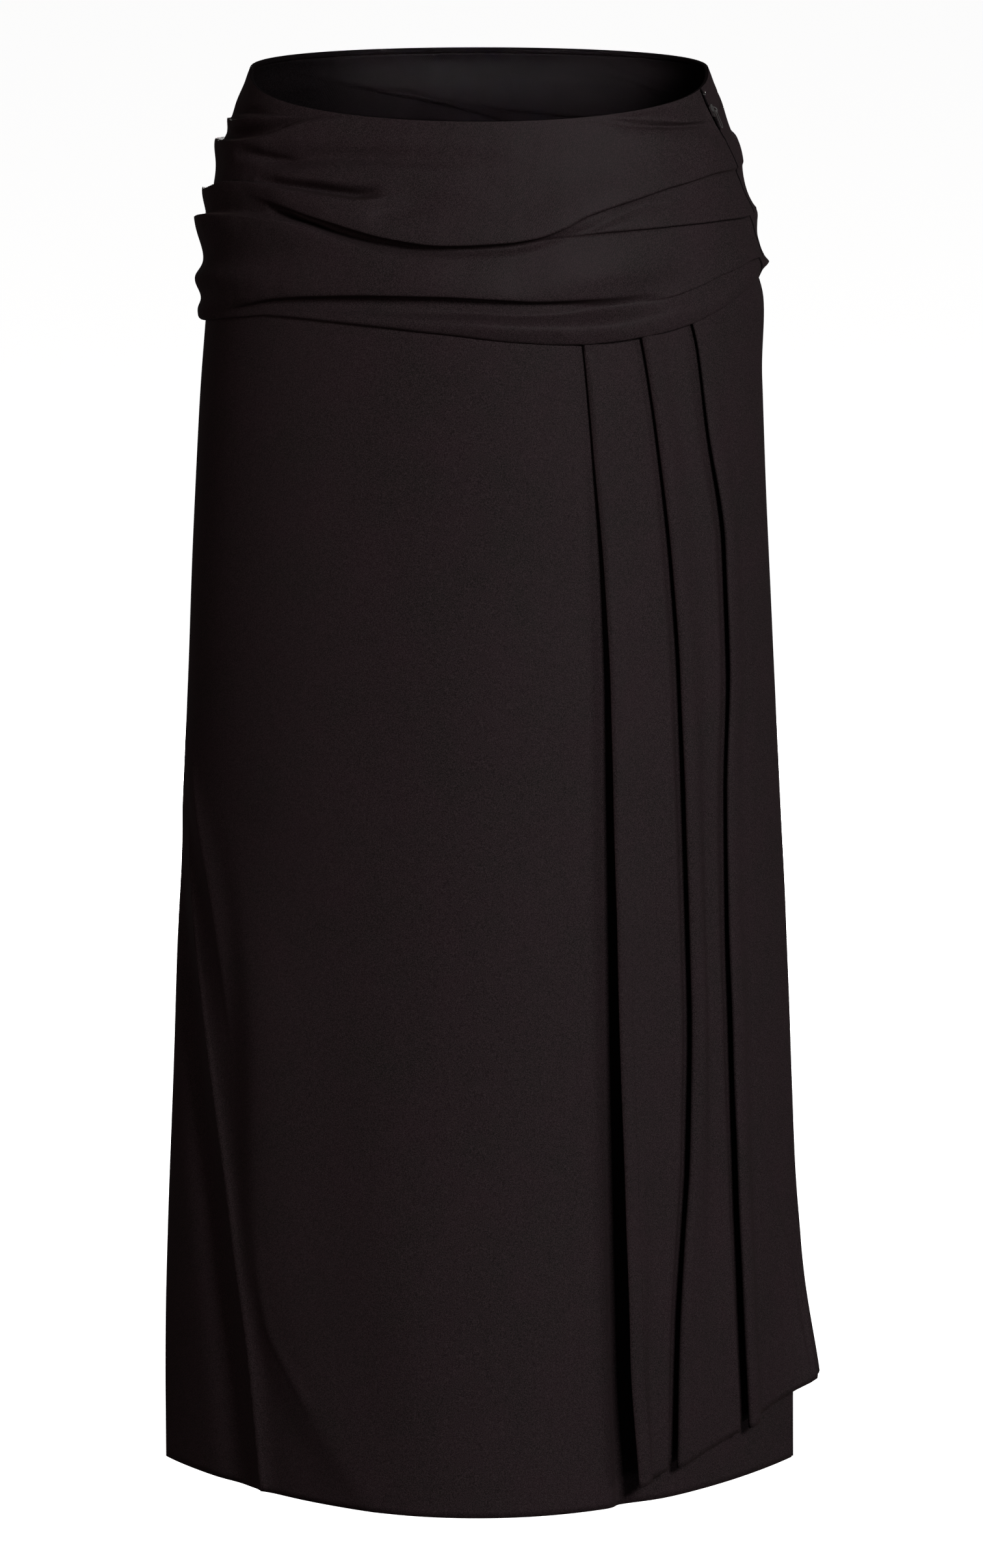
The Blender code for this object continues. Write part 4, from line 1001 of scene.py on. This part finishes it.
def make_zip_coil(material):
    """The closed coil below the slider, in the seam."""
    pitch, sides, per_turn = 1.1, 5, 9
    wire, half_width, half_depth = 0.2, 0.36, 0.5
    start, end = SLIDER_DROP + 5.0, ZIP_LENGTH - 4.0  # below the slider, above the stop
    count = int((end - start) / pitch * per_turn)
    drop = start + (end - start) * np.arange(count + 1) / count
    turn = 2 * math.pi * np.arange(count + 1) / per_turn
    middle = zip_seam_deg(drop)
    deg = middle + half_width * np.cos(turn) / mm_per_degree(middle, drop)
    path = place(deg, drop, -CLOTH - 0.2 + half_depth * np.sin(turn))
    along = np.gradient(path, axis=0)
    along /= np.linalg.norm(along, axis=1, keepdims=True)
    out = skirt_normal(middle, drop)
    side = np.cross(along, out)
    side /= np.linalg.norm(side, axis=1, keepdims=True)
    up = np.cross(side, along)
    angle = 2 * math.pi * np.arange(sides) / sides
    rings = (
        path[:, None]
        + wire * np.cos(angle)[None, :, None] * side[:, None]
        + wire * np.sin(angle)[None, :, None] * up[:, None]
    )
    faces = [
        [r * sides + k, r * sides + n, (r + 1) * sides + n, (r + 1) * sides + k]
        for r in range(count) for k, n in zip(range(sides), (*range(1, sides), 0))
    ]
    faces += [list(range(sides))[::-1], [count * sides + k for k in range(sides)]]
    coil = add_piece("zip_coil", rings.reshape(-1, 3), faces, material, "skirt")
    return coil


# ---- The studio ----

def add_area(lamp):
    """A rectangular lamp that faces what it is aimed at."""
    a, e = math.radians(lamp.azimuth), math.radians(lamp.elevation)
    way = Vector((math.sin(a) * math.cos(e), -math.cos(a) * math.cos(e), math.sin(e)))
    light = bpy.data.lights.new(lamp.name, "AREA")
    light.shape, light.size, light.size_y = "RECTANGLE", lamp.width, lamp.height
    light.energy, light.color = lamp.power, lamp.colour
    light.spread = math.radians(lamp.spread)
    item = add_object(lamp.name, light)
    item.location = Vector(lamp.aim) + way * lamp.distance
    item.rotation_mode = "QUATERNION"
    item.rotation_quaternion = way.to_track_quat("Z", "Y")


def stage_mesh(name, points, faces, material):
    """Part of the plain pale room, which takes light but sends none back on the cloth."""
    item = add_mesh(name, points, faces, material)
    item.visible_diffuse = item.visible_glossy = item.visible_shadow = False


def make_studio():
    """A dim world, a pale room and the lamps."""
    scene = bpy.context.scene
    scene.view_settings.view_transform = "Standard"
    world = bpy.data.worlds.new("Studio")
    world.use_nodes = True
    sky = world.node_tree.nodes["Background"]
    fill(world.node_tree, sky, {"Color": (1.0, 0.97, 0.96), "Strength": WORLD_LIGHT})
    scene.world = world

    material = plain_room("pale_room")
    sides = ROOM_SIDES
    angles = [2 * math.pi * k / sides for k in range(sides)]
    ring = [(ROOM_RADIUS * math.cos(a), ROOM_RADIUS * math.sin(a)) for a in angles]
    stage_mesh("floor", [(x, y, FLOOR_LEVEL) for x, y in ring], [tuple(range(sides))], material)
    wall_points = [(x, y, z) for z in (FLOOR_LEVEL, ROOM_HEIGHT) for x, y in ring]
    wall_faces = [
        (k, (k + 1) % sides, sides + (k + 1) % sides, sides + k) for k in range(sides)]
    stage_mesh("wall", wall_points, wall_faces, material)

    for lamp in LAMPS:
        add_area(lamp)


def make_camera():
    """The photograph's camera: far off, a little above the waist and tipped down."""
    data = bpy.data.cameras.new("camera")
    data.sensor_width = 36.0
    data.lens = 207.0
    data.clip_start, data.clip_end = 0.1, 100.0
    camera = add_object("camera", data)
    camera.location = (0.0072, -5.2, 0.7)
    camera.rotation_euler = (math.radians(90.0 - CAMERA_TILT), 0.0, 0.0)
    bpy.context.scene.camera = camera


# ---- The whole ----

make_camera()
make_studio()

satin = satin_crepe(
    "black_satin_crepe", (0.0058, 0.0050, 0.0049), (0.0088, 0.0053, 0.0064), 0.00020, 0.03)
# A darker, less shiny copy of the satin: painted shade on the panels' inner faces inside the
# waist and on the wrap's turned edge and zip-seam turns.
painted_shade_satin = satin_crepe(
    "black_crepe_painted_shade", (0.0014, 0.0012, 0.0013), (0.0018, 0.0013, 0.0015), 0.00014, 0.01)
front_rows = spread((
    Span(PANEL_TOP, 30.0, 10), Span(30.0, 150.0, 20), Span(150.0, SKIRT_LENGTH, 165)))
back_rows = spread((
    Span(PANEL_TOP, 70.0, 56), Span(70.0, 150.0, 20), Span(150.0, SKIRT_LENGTH, 130)))
front_share = spread((
    Span(0.0, 0.012, 6), Span(0.012, 0.08, 8), Span(0.08, 0.36, 84), Span(0.36, 0.64, 24),
    Span(0.64, 0.745, 28), Span(0.745, 0.988, 18), Span(0.988, 1.0, 6)))
back_share = spread((Span(0.0, 0.018, 15), Span(0.018, 0.982, 110), Span(0.982, 1.0, 15)))
front_panel = make_panel("front", front_share, front_rows, satin, painted_shade_satin)
back_panel = make_panel("back", back_share, back_rows, satin, painted_shade_satin)

wrap_width = 330.0  # about, along half the body
front_spans = (Span(0.0, 1.0, 225),)
back_spans = (Span(0.0, 0.13, 60), Span(0.13, 1.0, 130))
front_wrap = make_wrap("front", front_spans, 178, wrap_width, satin, painted_shade_satin)
back_wrap = make_wrap("back", back_spans, 150, wrap_width, satin, painted_shade_satin)
side_drape = make_side_drape(190, satin)

tape = make_zip_tape(ribbed_tape("black_tape"))
make_zip_coil(moulded_nylon("black_nylon"))
silver = plated_metal("nickel_plate", (0.84, 0.83, 0.82), 0.07)
for name in ("zip_slider", "zip_pull", "waist_hook"):
    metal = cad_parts[name]
    for slot in metal.material_slots:
        slot.material = silver
